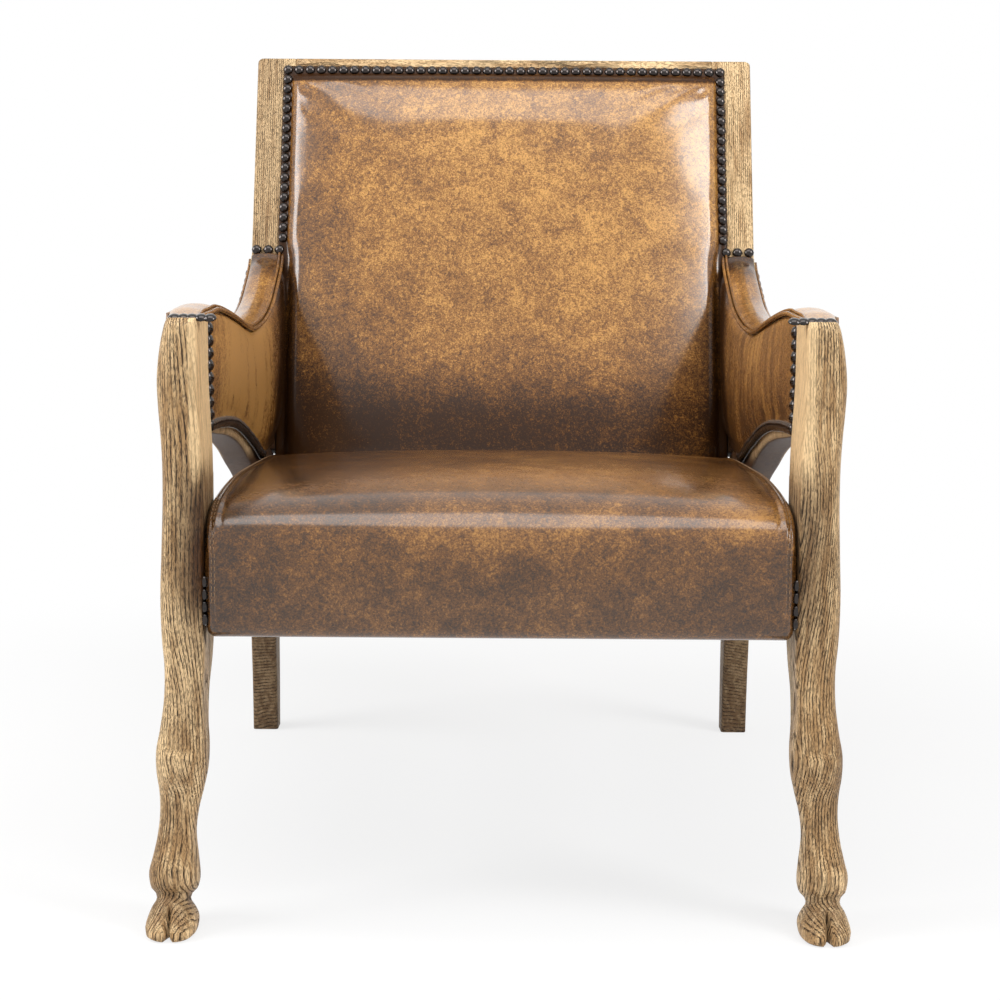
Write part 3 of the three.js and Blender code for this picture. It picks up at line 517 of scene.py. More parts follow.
def oak(name, turn, pith, lean, ring, sway, shade):
    """Wire-brushed oak. turn lays the grain along z, pith is the middle of the year rings, ring
    their width, lean how they taper and sway how far they wander. shade gives how dark a place is,
    partly as painted shade, and how smooth, which calms the grain and pales it."""
    wood = Finish(name, Specular_IOR_Level=0.35)
    place = wood.stretched(wood.place(), (1, 1, 1), turn)
    x, y, z = wood.split(place)
    dark, smooth = shade(wood, *wood.split(wood.place()))
    bend = wood.along(place, 0.26, 10, 1) - 0.5
    ripple = wood.along(place, 0.2, 80, 2) - 0.5
    dx, dy = x - pith[0], y - pith[1]
    radius = (dx * dx + dy * dy).root() + z * lean + bend * sway + ripple * 0.0026
    tooth = (radius / ring).fraction()
    # The brush opens the soft side of each year ring into a groove, here and there
    width = wood.along(place, 0.3, 50, 1)
    groove = wood.step(tooth, 0, 0.1) * wood.fade(tooth, width * 0.3, width * 0.3 + 0.3)
    dashes = wood.along(place, 0.16, 720, 2)
    worn = wood.along(place, 0.3, 90, 2)
    line = groove * (0.25 + wood.step(dashes, 0.42, 0.52) * 0.75)
    line = line * (0.35 + wood.step(worn, 0.36, 0.52) * 0.65) * (1 - smooth * 0.85)
    fibre = wood.along(place, 0.18, 1100, 2)
    pores = wood.step(fibre, 0.53, 0.62) * (1 - smooth * 0.7)
    cloud = wood.along(place, 0.3, 14, 3)
    streak = wood.along(place, 0.1, 170, 3)
    tone = wood.step(cloud * 0.45 + streak * 0.55 + smooth * 0.16, 0.4, 0.62)
    pale = wood.mix(tone, paint(184, 145, 98), chosen("oak"))
    brushed = wood.mix(line.most(pores * 0.5), pale, chosen("grain"))
    # The darkness multiplies in a brown: painted shade where the pieces' shade functions put it,
    # besides their random smoke
    brushed = wood.mix(dark, brushed, paint(92, 68, 38), "MULTIPLY")
    height = 1 - line - pores * 0.55
    return wood.feed(
        Base_Color=brushed,
        Roughness=0.42 + line * 0.3 + cloud * 0.1,
        Normal=wood.bump(height, 0.002),
    )


# Where the four tones of a leather lie between its darkest and its palest places
TONE_STOPS = (0.0, 0.32, 0.6, 0.98)


def leather(name, mottle, seed, glow=None, dull=None, tones=None):
    """Waxed pull-up leather with a mottle of light and dark. glow says where it is paler or darker,
    in the hide's own tone and as painted light and shade, and dull where it has no polish."""
    hide = Finish(name, Coat_Roughness=0.18, Coat_IOR=1.6, Specular_IOR_Level=0.1)
    place = hide.stretched(hide.place(), (1, 1, 1), shift=(seed, seed * 2, seed * 3))
    grains = hide.noise(place, 560, 3, 0.75, 0.6)
    flecks = hide.noise(place, 210, 4, 0.7, 0.8)
    clouds = hide.noise(place, 30, 4, 0.6, 0.5)
    drifts = hide.noise(place, 6)
    value = 0.5 + (grains - 0.5) * 2.0 * mottle + (flecks - 0.5) * 1.5 * mottle
    value = value + (clouds - 0.5) * 0.8 + (drifts - 0.5) * 0.5
    if glow:
        value = value + glow(hide, *hide.split(hide.place()))
    shades = hide.ramp(value, list(zip(TONE_STOPS, tones or hide_tones())))
    creases = hide.noise(place, 38, 3, 0.5, 1.2)
    height = grains * 0.3 + creases * 1.4
    bare = dull(hide, *hide.split(hide.place())) if dull else 0
    return hide.feed(
        Base_Color=shades,
        Roughness=0.45 + (flecks - 0.5) * 0.2,
        Coat_Weight=1.0 - (flecks - 0.5) * 0.3 - bare,
        Normal=hide.bump(height, 0.0004, 0.4),
    )


def hide_tones():
    return [chosen("brown"), paint(102, 65, 27), chosen("tan"), chosen("gold")]


SEAT_TONES = [paint(42, 22, 6), paint(74, 46, 17), paint(117, 75, 32), paint(177, 127, 64)]


def metal(name):
    bronze = Finish(name, Metallic=1.0, Coat_Weight=1.0, Coat_Roughness=0.04, Coat_IOR=1.45)
    tarnish = bronze.noise(bronze.place(), 420, 3)
    shade = bronze.mix(bronze.step(tarnish, 0.4, 0.7), chosen("bronze"), paint(16, 11, 9))
    return bronze.feed(
        Base_Color=shade,
        Roughness=0.08 + tarnish * 0.1,
        Normal=bronze.bump(tarnish, 0.0001, 0.2),
    )


def plain_wood(name):
    wood = Finish(name, Roughness=0.8)
    grain = wood.noise(wood.stretched(wood.place(), (0.1, 1, 1)), 260, 3)
    cloud = wood.noise(wood.place(), 16)
    shade = wood.mix(grain * 0.7 + cloud * 0.3, paint(176, 148, 108), paint(222, 198, 156))
    return wood.feed(Base_Color=shade, Normal=wood.bump(grain, 0.0003, 0.4))


def weave(name, warp, weft, pitch):
    """A plain weave of two yarns."""
    cloth = Finish(name, Roughness=0.9)
    x, y, z = cloth.split(cloth.place())
    over = abs((x / pitch).fraction() - 0.5) * 2
    under = abs(((y + z) / pitch).fraction() - 0.5) * 2
    fuzz = cloth.noise(cloth.place(), 900)
    shade = cloth.mix(cloth.step(over - under + fuzz * 0.3, -0.2, 0.3), warp, weft)
    return cloth.feed(Base_Color=shade, Normal=cloth.bump(over.most(under), 0.0004, 0.6))


# Front legs

# Height, inner face, outer face, front, back, and squareness, in shares of the arm height,
# of the side's thickness and of the leg's depth
LEG_STATION_SHARES = [
    (0, -0.16, 0.48, 0.35, 0.5, 2.6), (0.003, -0.1, 0.57, 0.38, 0.55, 2.6),
    (0.011, -0.08, 0.6, 0.37, 0.58, 2.6), (0.022, -0.11, 0.55, 0.26, 0.6, 2.5),
    (0.035, -0.22, 0.44, 0.16, 0.59, 2.5), (0.048, -0.36, 0.32, 0.05, 0.55, 2.5),
    (0.054, -0.32, 0.36, 0.03, 0.58, 2.4), (0.061, -0.19, 0.49, 0.07, 0.67, 2.4),
    (0.073, -0.12, 0.55, 0.09, 0.74, 2.5), (0.089, -0.1, 0.56, 0.09, 0.75, 2.5),
    (0.11, -0.14, 0.47, 0.05, 0.75, 2.6), (0.155, -0.2, 0.3, -0.03, 0.68, 2.7),
    (0.19, -0.12, 0.23, -0.08, 0.64, 2.7), (0.229, 0.05, 0.24, -0.07, 0.66, 2.8),
    (0.26, 0.17, 0.3, 0, 0.71, 2.8), (0.298, 0.21, 0.29, 0.05, 0.76, 3),
    (0.333, 0.17, 0.17, 0.03, 0.79, 3.2), (0.386, 0.14, 0.05, -0.04, 0.84, 3.4),
    (0.44, 0.21, 0.04, -0.05, 0.92, 3.8), (0.475, 0.24, 0.09, -0.03, 0.97, 4.4),
    (0.544, 0.24, 0.12, 0, 1.03, 4.8), (0.631, 0.24, 0.06, 0.01, 1.08, 4.8),
    (0.71, 0.24, 0, 0.03, 1.11, 4.8), (0.778, 0.23, 0, 0.03, 1.13, 4.8),
    (0.817, 0.2, 0.04, 0.01, 1.13, 4.8), (0.852, 0.17, 0.09, 0, 1.13, 4.8),
    (0.9, 0.14, 0.12, 0, 1.13, 4.6), (0.942, 0.14, 0.05, 0, 1.13, 4.4),
    (0.975, 0.14, -0.06, -0.01, 1.13, 4.4), (0.993, 0.13, -0.15, -0.03, 1.13, 4.4),
    (1, 0.1, -0.21, -0.07, 1.11, 4.4),
]
LEG_SIDES = 88
LEG_STEP = 3.6
LEG_MIDDLE_X = (SIDE_INNER_X + SIDE_OUTER_X) / 2
LEG_FLAT_BACK_SHARE = 0.74
LEG_SQUARED_SHARES = (0.33, 0.46)
# How square each corner is, by whether it is outside and whether it is in front
CORNER_POWERS = {(False, True): 11, (False, False): 12, (True, True): 3.3, (True, False): 4.5}
HOOF_SLOPE = 0.36
HOOF_SLOPE_HEIGHTS = (0, 26, 52, 110)
CLEFT_HEIGHT = 24
CLEFT_HALF_WIDTH = 2.2
CLEFT_LIP = 2.6
KNEE_HEIGHTS = (136, 172, 188, 197)
KNEE_RISE = 3.6


def leg_rows():
    rows = [
        (
            up * ARM_HEIGHT, SIDE_INNER_X - inward * SIDE_THICKNESS,
            SIDE_OUTER_X + outward * SIDE_THICKNESS, -front * LEG_DEPTH, back * LEG_DEPTH, power,
        )
        for up, inward, outward, front, back, power in LEG_STATION_SHARES
    ]
    return smooth_rows(rows, LEG_STEP)


def leg_ring(row, side):
    """One level of a front leg: crisp corners inside, rounded ones outside, and toes."""
    z, inner, outer, front, back, power = row
    low, high = [share * ARM_HEIGHT for share in LEG_SQUARED_SHARES]
    squared = ease(z, low, high)
    # The rim of the hoof runs uphill towards the front
    slope = HOOF_SLOPE * plateau(z, *HOOF_SLOPE_HEIGHTS)
    middle_x, middle_y = (inner + outer) / 2, (front + back) / 2
    ring = []
    for c, s in turns(LEG_SIDES):
        corner = CORNER_POWERS[(c > 0, s < 0)]
        bend = 2 / (power + squared * (corner - power))
        x = middle_x + math.copysign(abs(c) ** bend, c) * (outer - inner) / 2
        y = middle_y + math.copysign(abs(s) ** bend, s) * (back - front) / 2
        level = z + slope * (middle_y - y)
        if z > LEG_FLAT_BACK_SHARE * ARM_HEIGHT:
            y = min(y, LEG_DEPTH)
        if s < 0:
            # The toes: a cut that narrows upwards, with rounded lips
            left = max(0.0, 1 - z / CLEFT_HEIGHT)
            half = CLEFT_HALF_WIDTH * left ** 0.6
            if left > 0:
                cut = 1 - ease(abs(x - middle_x), half * 0.4, half + CLEFT_LIP)
                y += cut * (size("cleft_depth") / MM) * min(1, left * 2.2)
            # The knee cap, with a ledge above it
            across = abs(x - middle_x) / (outer - inner)
            y -= KNEE_RISE * plateau(z, *KNEE_HEIGHTS) * (1 - ease(across, 0.16, 0.48))
        ring.append(at(side * x, y, level))
    return ring


def make_front_legs():
    def shade(wood, x, y, z):
        """Painted shade beside the seat, deepest on the inner side, and in the groove above the
        hoof, with random smoke; over the seat a smooth inner face with calmer grain, paled as
        painted light.
        """
        # Painted shade: a band beside the seat, strongest towards the inner face, and the groove
        # above the hoof
        shade_beside_seat = wood.band(z, 0.28, 0.36, 0.43, 0.52)
        inner = wood.fade(abs(x), 0.306, 0.336)
        fetlock_groove_shade = wood.fade(abs(z - 0.034), 0.004, 0.02)
        smoke = wood.along(wood.place(), 0.5, 12, 3)
        dark = shade_beside_seat * (0.1 + inner * 0.55) + fetlock_groove_shade * 0.3
        # The inner face over the seat: calmer grain, paled as painted light, and no painted shade
        # there
        plane = wood.fade(abs(x), 0.31, 0.3135) * wood.step(z, 0.46, 0.5) * 0.8
        return (dark + wood.step(smoke, 0.5, 0.74) * 0.4).least(1.0) * (1 - plane), plane

    for label, side in SIDES.items():
        pith = at(side * (LEG_MIDDLE_X + 60), 25, 0)
        material = oak(f"oak_leg_{label}", (0, 0, 0), pith[:2], 0.02, 0.0029, 0.05, shade)
        rings = [leg_ring(row, side) for row in leg_rows()]
        shape(rings, f"carved_leg_{label}", material, [f"front_leg_{label}"])


# Rear legs and the arched side rails

# Along and up for the lower line and then for the upper, and how far the foot splays. Under
# the stile the upper line has no along, and its depth behind the stile's front for up
REAR_LEG_SHARES = [
    (0, 0.801, 0, 0.872, 0), (0.08, 0.796, 0.085, 0.866, 0), (0.163, 0.785, 0.174, 0.856, 0),
    (0.316, 0.765, 0.332, 0.834, 0), (0.447, 0.74, 0.469, 0.808, 0),
    (0.544, 0.713, 0.573, 0.78, 0), (0.656, 0.673, 0.696, 0.738, 0),
    (0.786, 0.626, 0.837, 0.694, 0), (0.877, 0.579, None, -14, 0), (0.953, 0.522, None, 38, 0),
    (1.019, 0.451, 1.106, 0.544, 0.01), (1.077, 0.371, 1.164, 0.429, 0.06),
    (1.117, 0.292, 1.202, 0.326, 0.1), (1.146, 0.222, 1.228, 0.237, 0.16),
    (1.179, 0.123, 1.249, 0.126, 0.2), (1.211, 0, 1.27, 0, 0.25),
]
STILE_SEAT_ROWS = (8, 9)
REAR_LEG_STEP = 11
REAR_LEG_EDGE = 4
REAR_GRAIN_TURN = math.radians(24)
CORNER_STEPS = 4


def rounded_section(low_x, high_x, radius, place):
    """A ring round a section from 0 to 1 in depth, whose corners are rounded. place turns
    x and the distance from the near and the far edge into a point."""
    ring = []
    corners = [(high_x, 1, 0), (high_x, 1, 1), (low_x, -1, 1), (low_x, -1, 0)]
    for n, (x, outward, far) in enumerate(corners):
        for share in steps(CORNER_STEPS):
            angle = (n - 1 + share) * math.pi / 2
            across = x + (math.cos(angle) - outward) * radius
            inset = (1 - abs(math.sin(angle))) * radius
            ring.append(place(across, far, inset))
    return ring


def rear_leg_levels():
    """The lower and the upper line's y and z at each station, and the splay there."""
    rows = []
    for along, up, high_along, high_up, splay in REAR_LEG_SHARES:
        if high_along is None:
            y = BACK_PIVOT_Y + high_up * math.cos(BACK_RECLINE)
            z = BACK_PIVOT_Z - high_up * math.sin(BACK_RECLINE)
        else:
            y, z = on_side(high_along, high_up)
        rows.append((*on_side(along, up), y, z, splay * SIDE_THICKNESS))
    flowing = smooth_rows(rows, REAR_LEG_STEP)
    broken = smooth_rows(rows, REAR_LEG_STEP, STILE_SEAT_ROWS)
    levels = [[*a[:2], *b[2:4], a[4]] for a, b in zip(flowing, broken)]
    # The foot stands flat on the floor
    levels[-1][1] = levels[-1][3] = 0
    return levels


def make_rear_legs():
    def shade(wood, x, y, z):
        """Darker low on the foot, and painted shade beside and under the seat rail."""
        low = wood.fade(z, 0.12, 0.36)
        inside = wood.band(abs(x), 0.3086, 0.3105, 0.338, 0.3425)
        # Painted shade: under the arched rail across its width, and beside the seat rail
        under = wood.step(z, 0.24, 0.34) * (0.3 + inside * 0.7)
        under = under.most(wood.band(z, 0.3, 0.34, 0.43, 0.46))
        return (low * 0.66).most(under), wood.step(z, 0.3, 0.4) * 0.4

    for label, side in SIDES.items():
        turn, pith = (REAR_GRAIN_TURN, 0, 0), (side * 0.31, 0.62)
        material = oak(f"oak_rear_{label}", turn, pith, 0.05, 0.0034, 0.02, shade)
        rings = []
        for low_y, low_z, high_y, high_z, splay in rear_leg_levels():
            low, high = Vector((low_y, low_z)), Vector((high_y, high_z))
            width = (high - low).length

            def place(x, far, inset, low=low, high=high, width=width):
                share = 1 - inset / width if far else inset / width
                y, z = low.lerp(high, share)
                return at(side * x, y, z)

            inner, outer = SIDE_INNER_X + splay, SIDE_OUTER_X + splay
            rings.append(rounded_section(inner, outer, REAR_LEG_EDGE, place))
        shape(rings, f"sabre_leg_{label}", material, [f"rear_leg_{label}"])


# Back frame

STILE_STEPS = 24
STILE_TOP_RADIUS = 7
STILE_TOP_EASE = 2.2
STILE_TOP_STEPS = 6
BACK_FRAME_EDGE = 2.6
RAIL_HALF_STEPS = 12


def stile_levels():
    """Heights up a stile, with how far its outer corner and its faces draw in there."""
    straight = BACK_HEIGHT - STILE_TOP_RADIUS
    levels = [(FIT_GAP, 0, 0), (2, 0, 0)]
    levels += [(k / STILE_STEPS * straight, 0, 0) for k in range(1, STILE_STEPS + 1)]
    for k in range(1, STILE_TOP_STEPS + 1):
        turn = k / STILE_TOP_STEPS * math.pi / 2
        in_by = 1 - math.cos(turn)
        rise = straight + STILE_TOP_RADIUS * math.sin(turn)
        levels.append((rise, STILE_TOP_RADIUS * in_by, STILE_TOP_EASE * in_by))
    return levels


def make_back_frame():
    def shade(wood, x, y, z):
        """A little smoke, a darker left stile, and painted shade in the inner corners at the foot.
        """
        smoke = wood.along(wood.place(), 0.4, 15, 3)
        left = wood.fade(x, -0.32, -0.28)
        # Painted shade at the foot of each stile's inner side, where the back and the arm panel
        # close in
        corner = wood.fade(z, 0.45, 0.5) * wood.fade(abs(x), 0.309, 0.312)
        return (wood.step(smoke, 0.5, 0.8) * 0.3 + left * 0.36 + 0.05).most(corner), 0.25

    for label, side in SIDES.items():
        turn, pith = (BACK_RECLINE, 0, 0), (side * 0.5, 0.1)
        material = oak(f"oak_stile_{label}", turn, pith, 0.004, 0.0026, 0.006, shade)
        rings = []
        for rise, corner, eased in stile_levels():

            def place(x, far, inset, rise=rise, eased=eased):
                depth = STILE_DEPTH - eased - inset if far else eased + inset
                return on_back(side * x, depth, rise)

            outer = SIDE_OUTER_X - corner
            rings.append(rounded_section(STILE_INNER_X, outer, BACK_FRAME_EDGE, place))
        shape(rings, f"stile_post_{label}", material, [f"back_stile_{label}"])
    turn, pith = (0, math.pi / 2, 0), (0.98, 0.3)
    material = oak("oak_top_rail", turn, pith, 0.004, 0.0024, 0.006, shade)
    rings = []
    for step in range(-RAIL_HALF_STEPS, RAIL_HALF_STEPS + 1):
        x = step / RAIL_HALF_STEPS * (STILE_INNER_X - FIT_GAP)

        def place(rise, far, inset, x=x):
            return on_back(x, STILE_DEPTH - inset if far else inset, rise)

        low = BACK_HEIGHT - TOP_RAIL_HEIGHT
        rings.append(rounded_section(low, BACK_HEIGHT, BACK_FRAME_EDGE, place))
    shape(rings, "crest_rail", material, ["top_rail"])


# Seat

# Along, rise of the bottom, drop of the top, width and crown
SEAT_STATION_SHARES = [
    (0, 0.168, 0.378, 0.992, 0.11), (0.0034, 0.084, 0.28, 0.996, 0.2),
    (0.0119, 0.035, 0.196, 0.999, 0.3), (0.0272, 0.007, 0.119, 1.001, 0.45),
    (0.0527, 0, 0.063, 1, 0.6), (0.0918, 0, 0.028, 1.002, 0.7), (0.1599, 0, 0.005, 1.004, 0.85),
    (0.2619, 0, 0, 1.008, 1), (0.398, 0, 0.017, 1.013, 1), (0.551, 0, 0.056, 1.013, 1),
    (0.7211, 0, 0.105, 1.013, 0.9), (0.8571, 0, 0.15, 1.011, 0.78),
    (0.9626, 0, 0.217, 1.004, 0.67), (0.9898, 0, 0.262, 0.996, 0.5), (1, 0, 0.308, 0.985, 0.3),
]
SEAT_BOTTOM_Z = 308.5
SEAT_TOP_Z = 449
SEAT_CROWN = 7
SEAT_EDGE = 10
SEAT_SEAM_IN = 7
SEAT_FRONT_Y = -4
SEAT_HALF_WIDTH = SIDE_INNER_X - 0.24 * SIDE_THICKNESS - 1.6
SEAT_DEPTH = 588
# Share of the half width and share of the crown there
CROWN_SHARES = [(0, 1), (0.45, 0.85), (0.75, 0.55), (0.968, 0), (1.1, 0)]
SEAT_COLUMN_SHARES = [
    0, 0.08, 0.17, 0.26, 0.35, 0.44, 0.53, 0.61, 0.69, 0.76, 0.82, 0.865, 0.9, 0.922, 0.936,
    0.9435, 0.95, 0.957, 0.9625, 0.966, 0.968, 0.97, 0.9735, 0.979, 0.985, 0.991, 0.996, 1,
]
SEAT_FRONT_BULGE = 1.8
SEAT_SIDE_BULGE = 2.2
DUST_COVER_TOP_Z = 319
SEAT_FRONT_STEPS = 9
SEAT_REAR_STEPS = 4
SEAT_STEP = 9
SEAT_RIM = (20, 27)
SEAT_SIDE_SHRINKS = [0, 0.25, 0.5, 0.72, 0.88]
# How far from the sides and the rear the leather is tacked down, and below what height
SEAT_TACKED_SIDE = 26
SEAT_TACKED_REAR = 20
SEAT_TACKED_Z = 330
# The seam, a ridge on either side and a hollow further in: place, reach and depth
SEAM_FOLDS = [(0, 2.4, 1.4), (4, 3.6, -0.7), (-4, 3.6, -0.7), (9, 3.5, 0.8)]
STITCH_FROM_SEAM = 1.7
STITCH_PITCH = 1.6


def seat_rows():
    thickness = SEAT_TOP_Z - SEAT_BOTTOM_Z
    rows = [
        (
            SEAT_FRONT_Y + along * SEAT_DEPTH, SEAT_TOP_Z - drop * thickness,
            SEAT_BOTTOM_Z + rise * thickness, width * SEAT_HALF_WIDTH, crown * SEAT_CROWN,
        )
        for along, rise, drop, width, crown in SEAT_STATION_SHARES
    ]
    return smooth_rows(rows, SEAT_STEP)


def seat_section():
    """The seat's outline from the side, round from the rear of its top: each point's y and z,
    the half width and the crown there, and whether it is on the sewn top or front."""
    rows = seat_rows()
    section = [(y, high, half, crown, True) for y, high, low, half, crown in reversed(rows)]
    y, high, low, half, crown = rows[0]
    for k in range(1, SEAT_FRONT_STEPS):
        share = k / SEAT_FRONT_STEPS
        bulge = SEAT_FRONT_BULGE * math.sin(math.pi * share)
        section.append((y - bulge, high + (low - high) * share, half, crown * (1 - share), True))
    for y, high, low, half, crown in rows:
        # Inside its rim the bottom is hollow, up to the dust cover
        rim = min(y - SEAT_FRONT_Y, SEAT_FRONT_Y + SEAT_DEPTH - y + 22)
        section.append((y, low, half, ease(rim, *SEAT_RIM), False))
    y, high, low, half, crown = rows[-1]
    for k in range(1, SEAT_REAR_STEPS):
        share = k / SEAT_REAR_STEPS
        section.append((y, low + (high - low) * share, half, 0, False))
    return section


def seat_points(section, share):
    """The points of the section at a share of its half width: rounded off towards the sides,
    with the seam sunk between two low ridges."""
    points = []
    for i, (y, z, half, crown, sewn) in enumerate(section):
        (y0, z0), (y1, z1) = section[i - 1][:2], section[(i + 1) % len(section)][:2]
        length = math.dist((y0, z0), (y1, z1))
        out_y, out_z = (z1 - z0) / length, (y0 - y1) / length
        side_left = half * (1 - abs(share))
        short = max(0.0, SEAT_EDGE - side_left)
        sunk = SEAT_EDGE - math.sqrt(SEAT_EDGE * SEAT_EDGE - short * short)
        if sewn:
            z += crown * height_on(CROWN_SHARES, abs(share))
            for beside, reach, deep in SEAM_FOLDS:
                sunk += deep * hump(side_left, SEAT_SEAM_IN + beside, reach)
        else:
            z += crown * ease(side_left, *SEAT_RIM) * (DUST_COVER_TOP_Z - SEAT_BOTTOM_Z)
        points.append(at(share * half, y - out_y * sunk, z - out_z * sunk))
    return points


def seat_side_ring(section, side, shrink):
    """The section drawn in towards the middle line of the side face, which bulges."""
    ring = seat_points(section, side)
    pairs = len(seat_rows())
    top, bottom = pairs, pairs + SEAT_FRONT_STEPS - 1
    highs, lows = ring[:top], ring[bottom:bottom + pairs][::-1]
    for high, low in zip(highs, lows):
        middle = (high.z + low.z) / 2
        for point in (high, low):
            point.z = middle + (point.z - middle) * shrink
    front = (highs[-1], lows[-1], ring[top:bottom])
    rear = (lows[0], highs[0], ring[bottom + pairs:])
    for start, end, group in (front, rear):
        for k, point in enumerate(group):
            flat = start.lerp(end, (k + 1) / (len(group) + 1))
            point.z = flat.z
            point.y = flat.y + (point.y - flat.y) * shrink
    for point in ring:
        point.x += side * SEAT_SIDE_BULGE * MM * (1 - shrink * shrink)
    return ring


def make_seat():
    def glow(hide, x, y, z):
        """Painted light from the right; darker on top, towards the sides and to the left."""
        lit = hide.along(hide.place(), 1.6, 7, 3)
        # Painted light: a paler mottle on the upper right of the front and top
        right = hide.step(x, -0.22, 0.1) * hide.step(z, 0.38, 0.43)
        side = hide.step(abs(x), 0.24, 0.3)
        left = hide.fade(x, -0.28, -0.1)
        top = hide.step(z, 0.43, 0.45)
        return right * (lit - 0.36) * 1.1 - top * 0.06 - side * 0.14 - left * 0.14

    def tacked(place):
        near_seam = abs(place.x) > (SEAT_HALF_WIDTH - SEAT_TACKED_SIDE) * MM
        at_rear = place.y > at(0, SEAT_DEPTH - SEAT_TACKED_REAR, 0).y
        return near_seam or at_rear or place.z < SEAT_TACKED_Z * MM

    section = seat_section()
    rings = [seat_side_ring(section, -1, shrink) for shrink in SEAT_SIDE_SHRINKS]
    rings += [seat_points(section, -share) for share in SEAT_COLUMN_SHARES[:0:-1]]
    rings += [seat_points(section, share) for share in SEAT_COLUMN_SHARES]
    rings += [seat_side_ring(section, 1, shrink) for shrink in reversed(SEAT_SIDE_SHRINKS)]
    material = leather("leather_seat", 0.8, 0.37, glow, tones=SEAT_TONES)
    pad = shape(rings, "seat_pad", material, ["seat_cover", "seat_foam"], closed=False)
    stuff(pad, tacked, size("seat_swell"))


def make_seat_stitches():
    """Two rows of topstitching along each side seam of the seat."""
    thread = Finish("thread", Roughness=0.6)
    fuzz = thread.noise(thread.place(), 1500)
    shade = thread.mix(fuzz, paint(120, 88, 60), paint(176, 142, 106))
    material = thread.feed(Base_Color=shade, Normal=thread.bump(fuzz, 0.0002, 0.5))
    section = [point for point in seat_section() if point[4]]
    length = size("stitch_length")
    for label, side in SIDES.items():
        bm = bmesh.new()
        for inset in (SEAT_SEAM_IN - STITCH_FROM_SEAM, SEAT_SEAM_IN + STITCH_FROM_SEAM):
            line = seat_points(section, side * (1 - inset / SEAT_HALF_WIDTH))[1:-1]
            for place, along in spread(line, length * STITCH_PITCH):
                outward = Vector((0, along.z, -along.y))
                bead(bm, place + outward * 0.3 * MM, along, outward, length)
        finish(bm, f"seat_stitches_{label}", material)


def bead(bm, place, along, outward, length):
    """One stitch: a low ridge that tapers into the leather at both ends."""
    across = along.cross(outward).normalized()
    half, low = 0.45 * MM, -0.4 * MM
    places = []
    for share, rise in ((-0.5, -0.3), (-0.3, 0.35), (0.3, 0.35), (0.5, -0.3)):
        middle = place + along * (share * length)
        places.append([
            middle + across * half + outward * low, middle + outward * (rise * MM),
            middle - across * half + outward * low,
        ])
    loft(bm, places)


# Back

BACK_TOP = BACK_HEIGHT - 12
BACK_STEP = 270.6
BACK_BORDER = 2.5
BACK_WIDE = 307
BACK_NARROW = 303
# Half width and depth over the border, from the side to the middle
BACK_SECTION = [
    (307, 0), (294, 0), (291.5, 6), (287.5, 11), (281, 15.6), (270, 20.3), (255, 24),
    (230, 28), (190, 31.4), (138, 33.8), (61, 35.2), (0, 35.4),
]
# Rise, share of that depth and half width, from the foot to the top
BACK_ROWS = [
    (-20, 1, 303), (120, 1, 303), (215, 1, 303), (256, 1, 303), (266, 1, 303.5), (275, 1, 306),
    (283, 1, 307), (350, 1, 307), (418, 1, 307), (469, 0.98, 307), (499, 0.915, 307),
    (511.5, 0.79, 307), (520, 0.58, 307), (526.5, 0.26, 307), (529.7, 0, 307), (543, 0, 307),
]
# Rows are smoothed by the distance in their first two numbers, so the share is scaled up
BACK_ROW_SCALE = 30
BACK_WALL_X = 294.5
# Which points of the section and of the rows are corners, and how fine each part is
BACK_SECTION_CORNER = 1
BACK_ROW_CORNER = 14
BACK_SECTION_STEP = 11
BACK_WALL_STEP = 3.2
BACK_CROWN_STEP = 12
BACK_ROW_STEP = 8
BACK_FOOT_SHARES = (0, 0.35, 0.75)
# How far from the sides, the top and the rear the leather is tacked down
BACK_TACKED_SIDE = 26
BACK_TACKED_TOP = 24
BACK_TACKED_REAR = -1.5


def back_section():
    """Half widths and depths across the front of the back, from one side to the other."""
    whole = smooth_rows(BACK_SECTION, BACK_SECTION_STEP, (BACK_SECTION_CORNER,))
    section = [row for row in whole if row[0] > BACK_WALL_X]
    section += smooth_rows(BACK_SECTION[1:6], BACK_WALL_STEP)
    section += smooth_rows(BACK_SECTION[5:], BACK_CROWN_STEP)[1:]
    return section + [(-x, depth) for x, depth in reversed(section[:-1])]


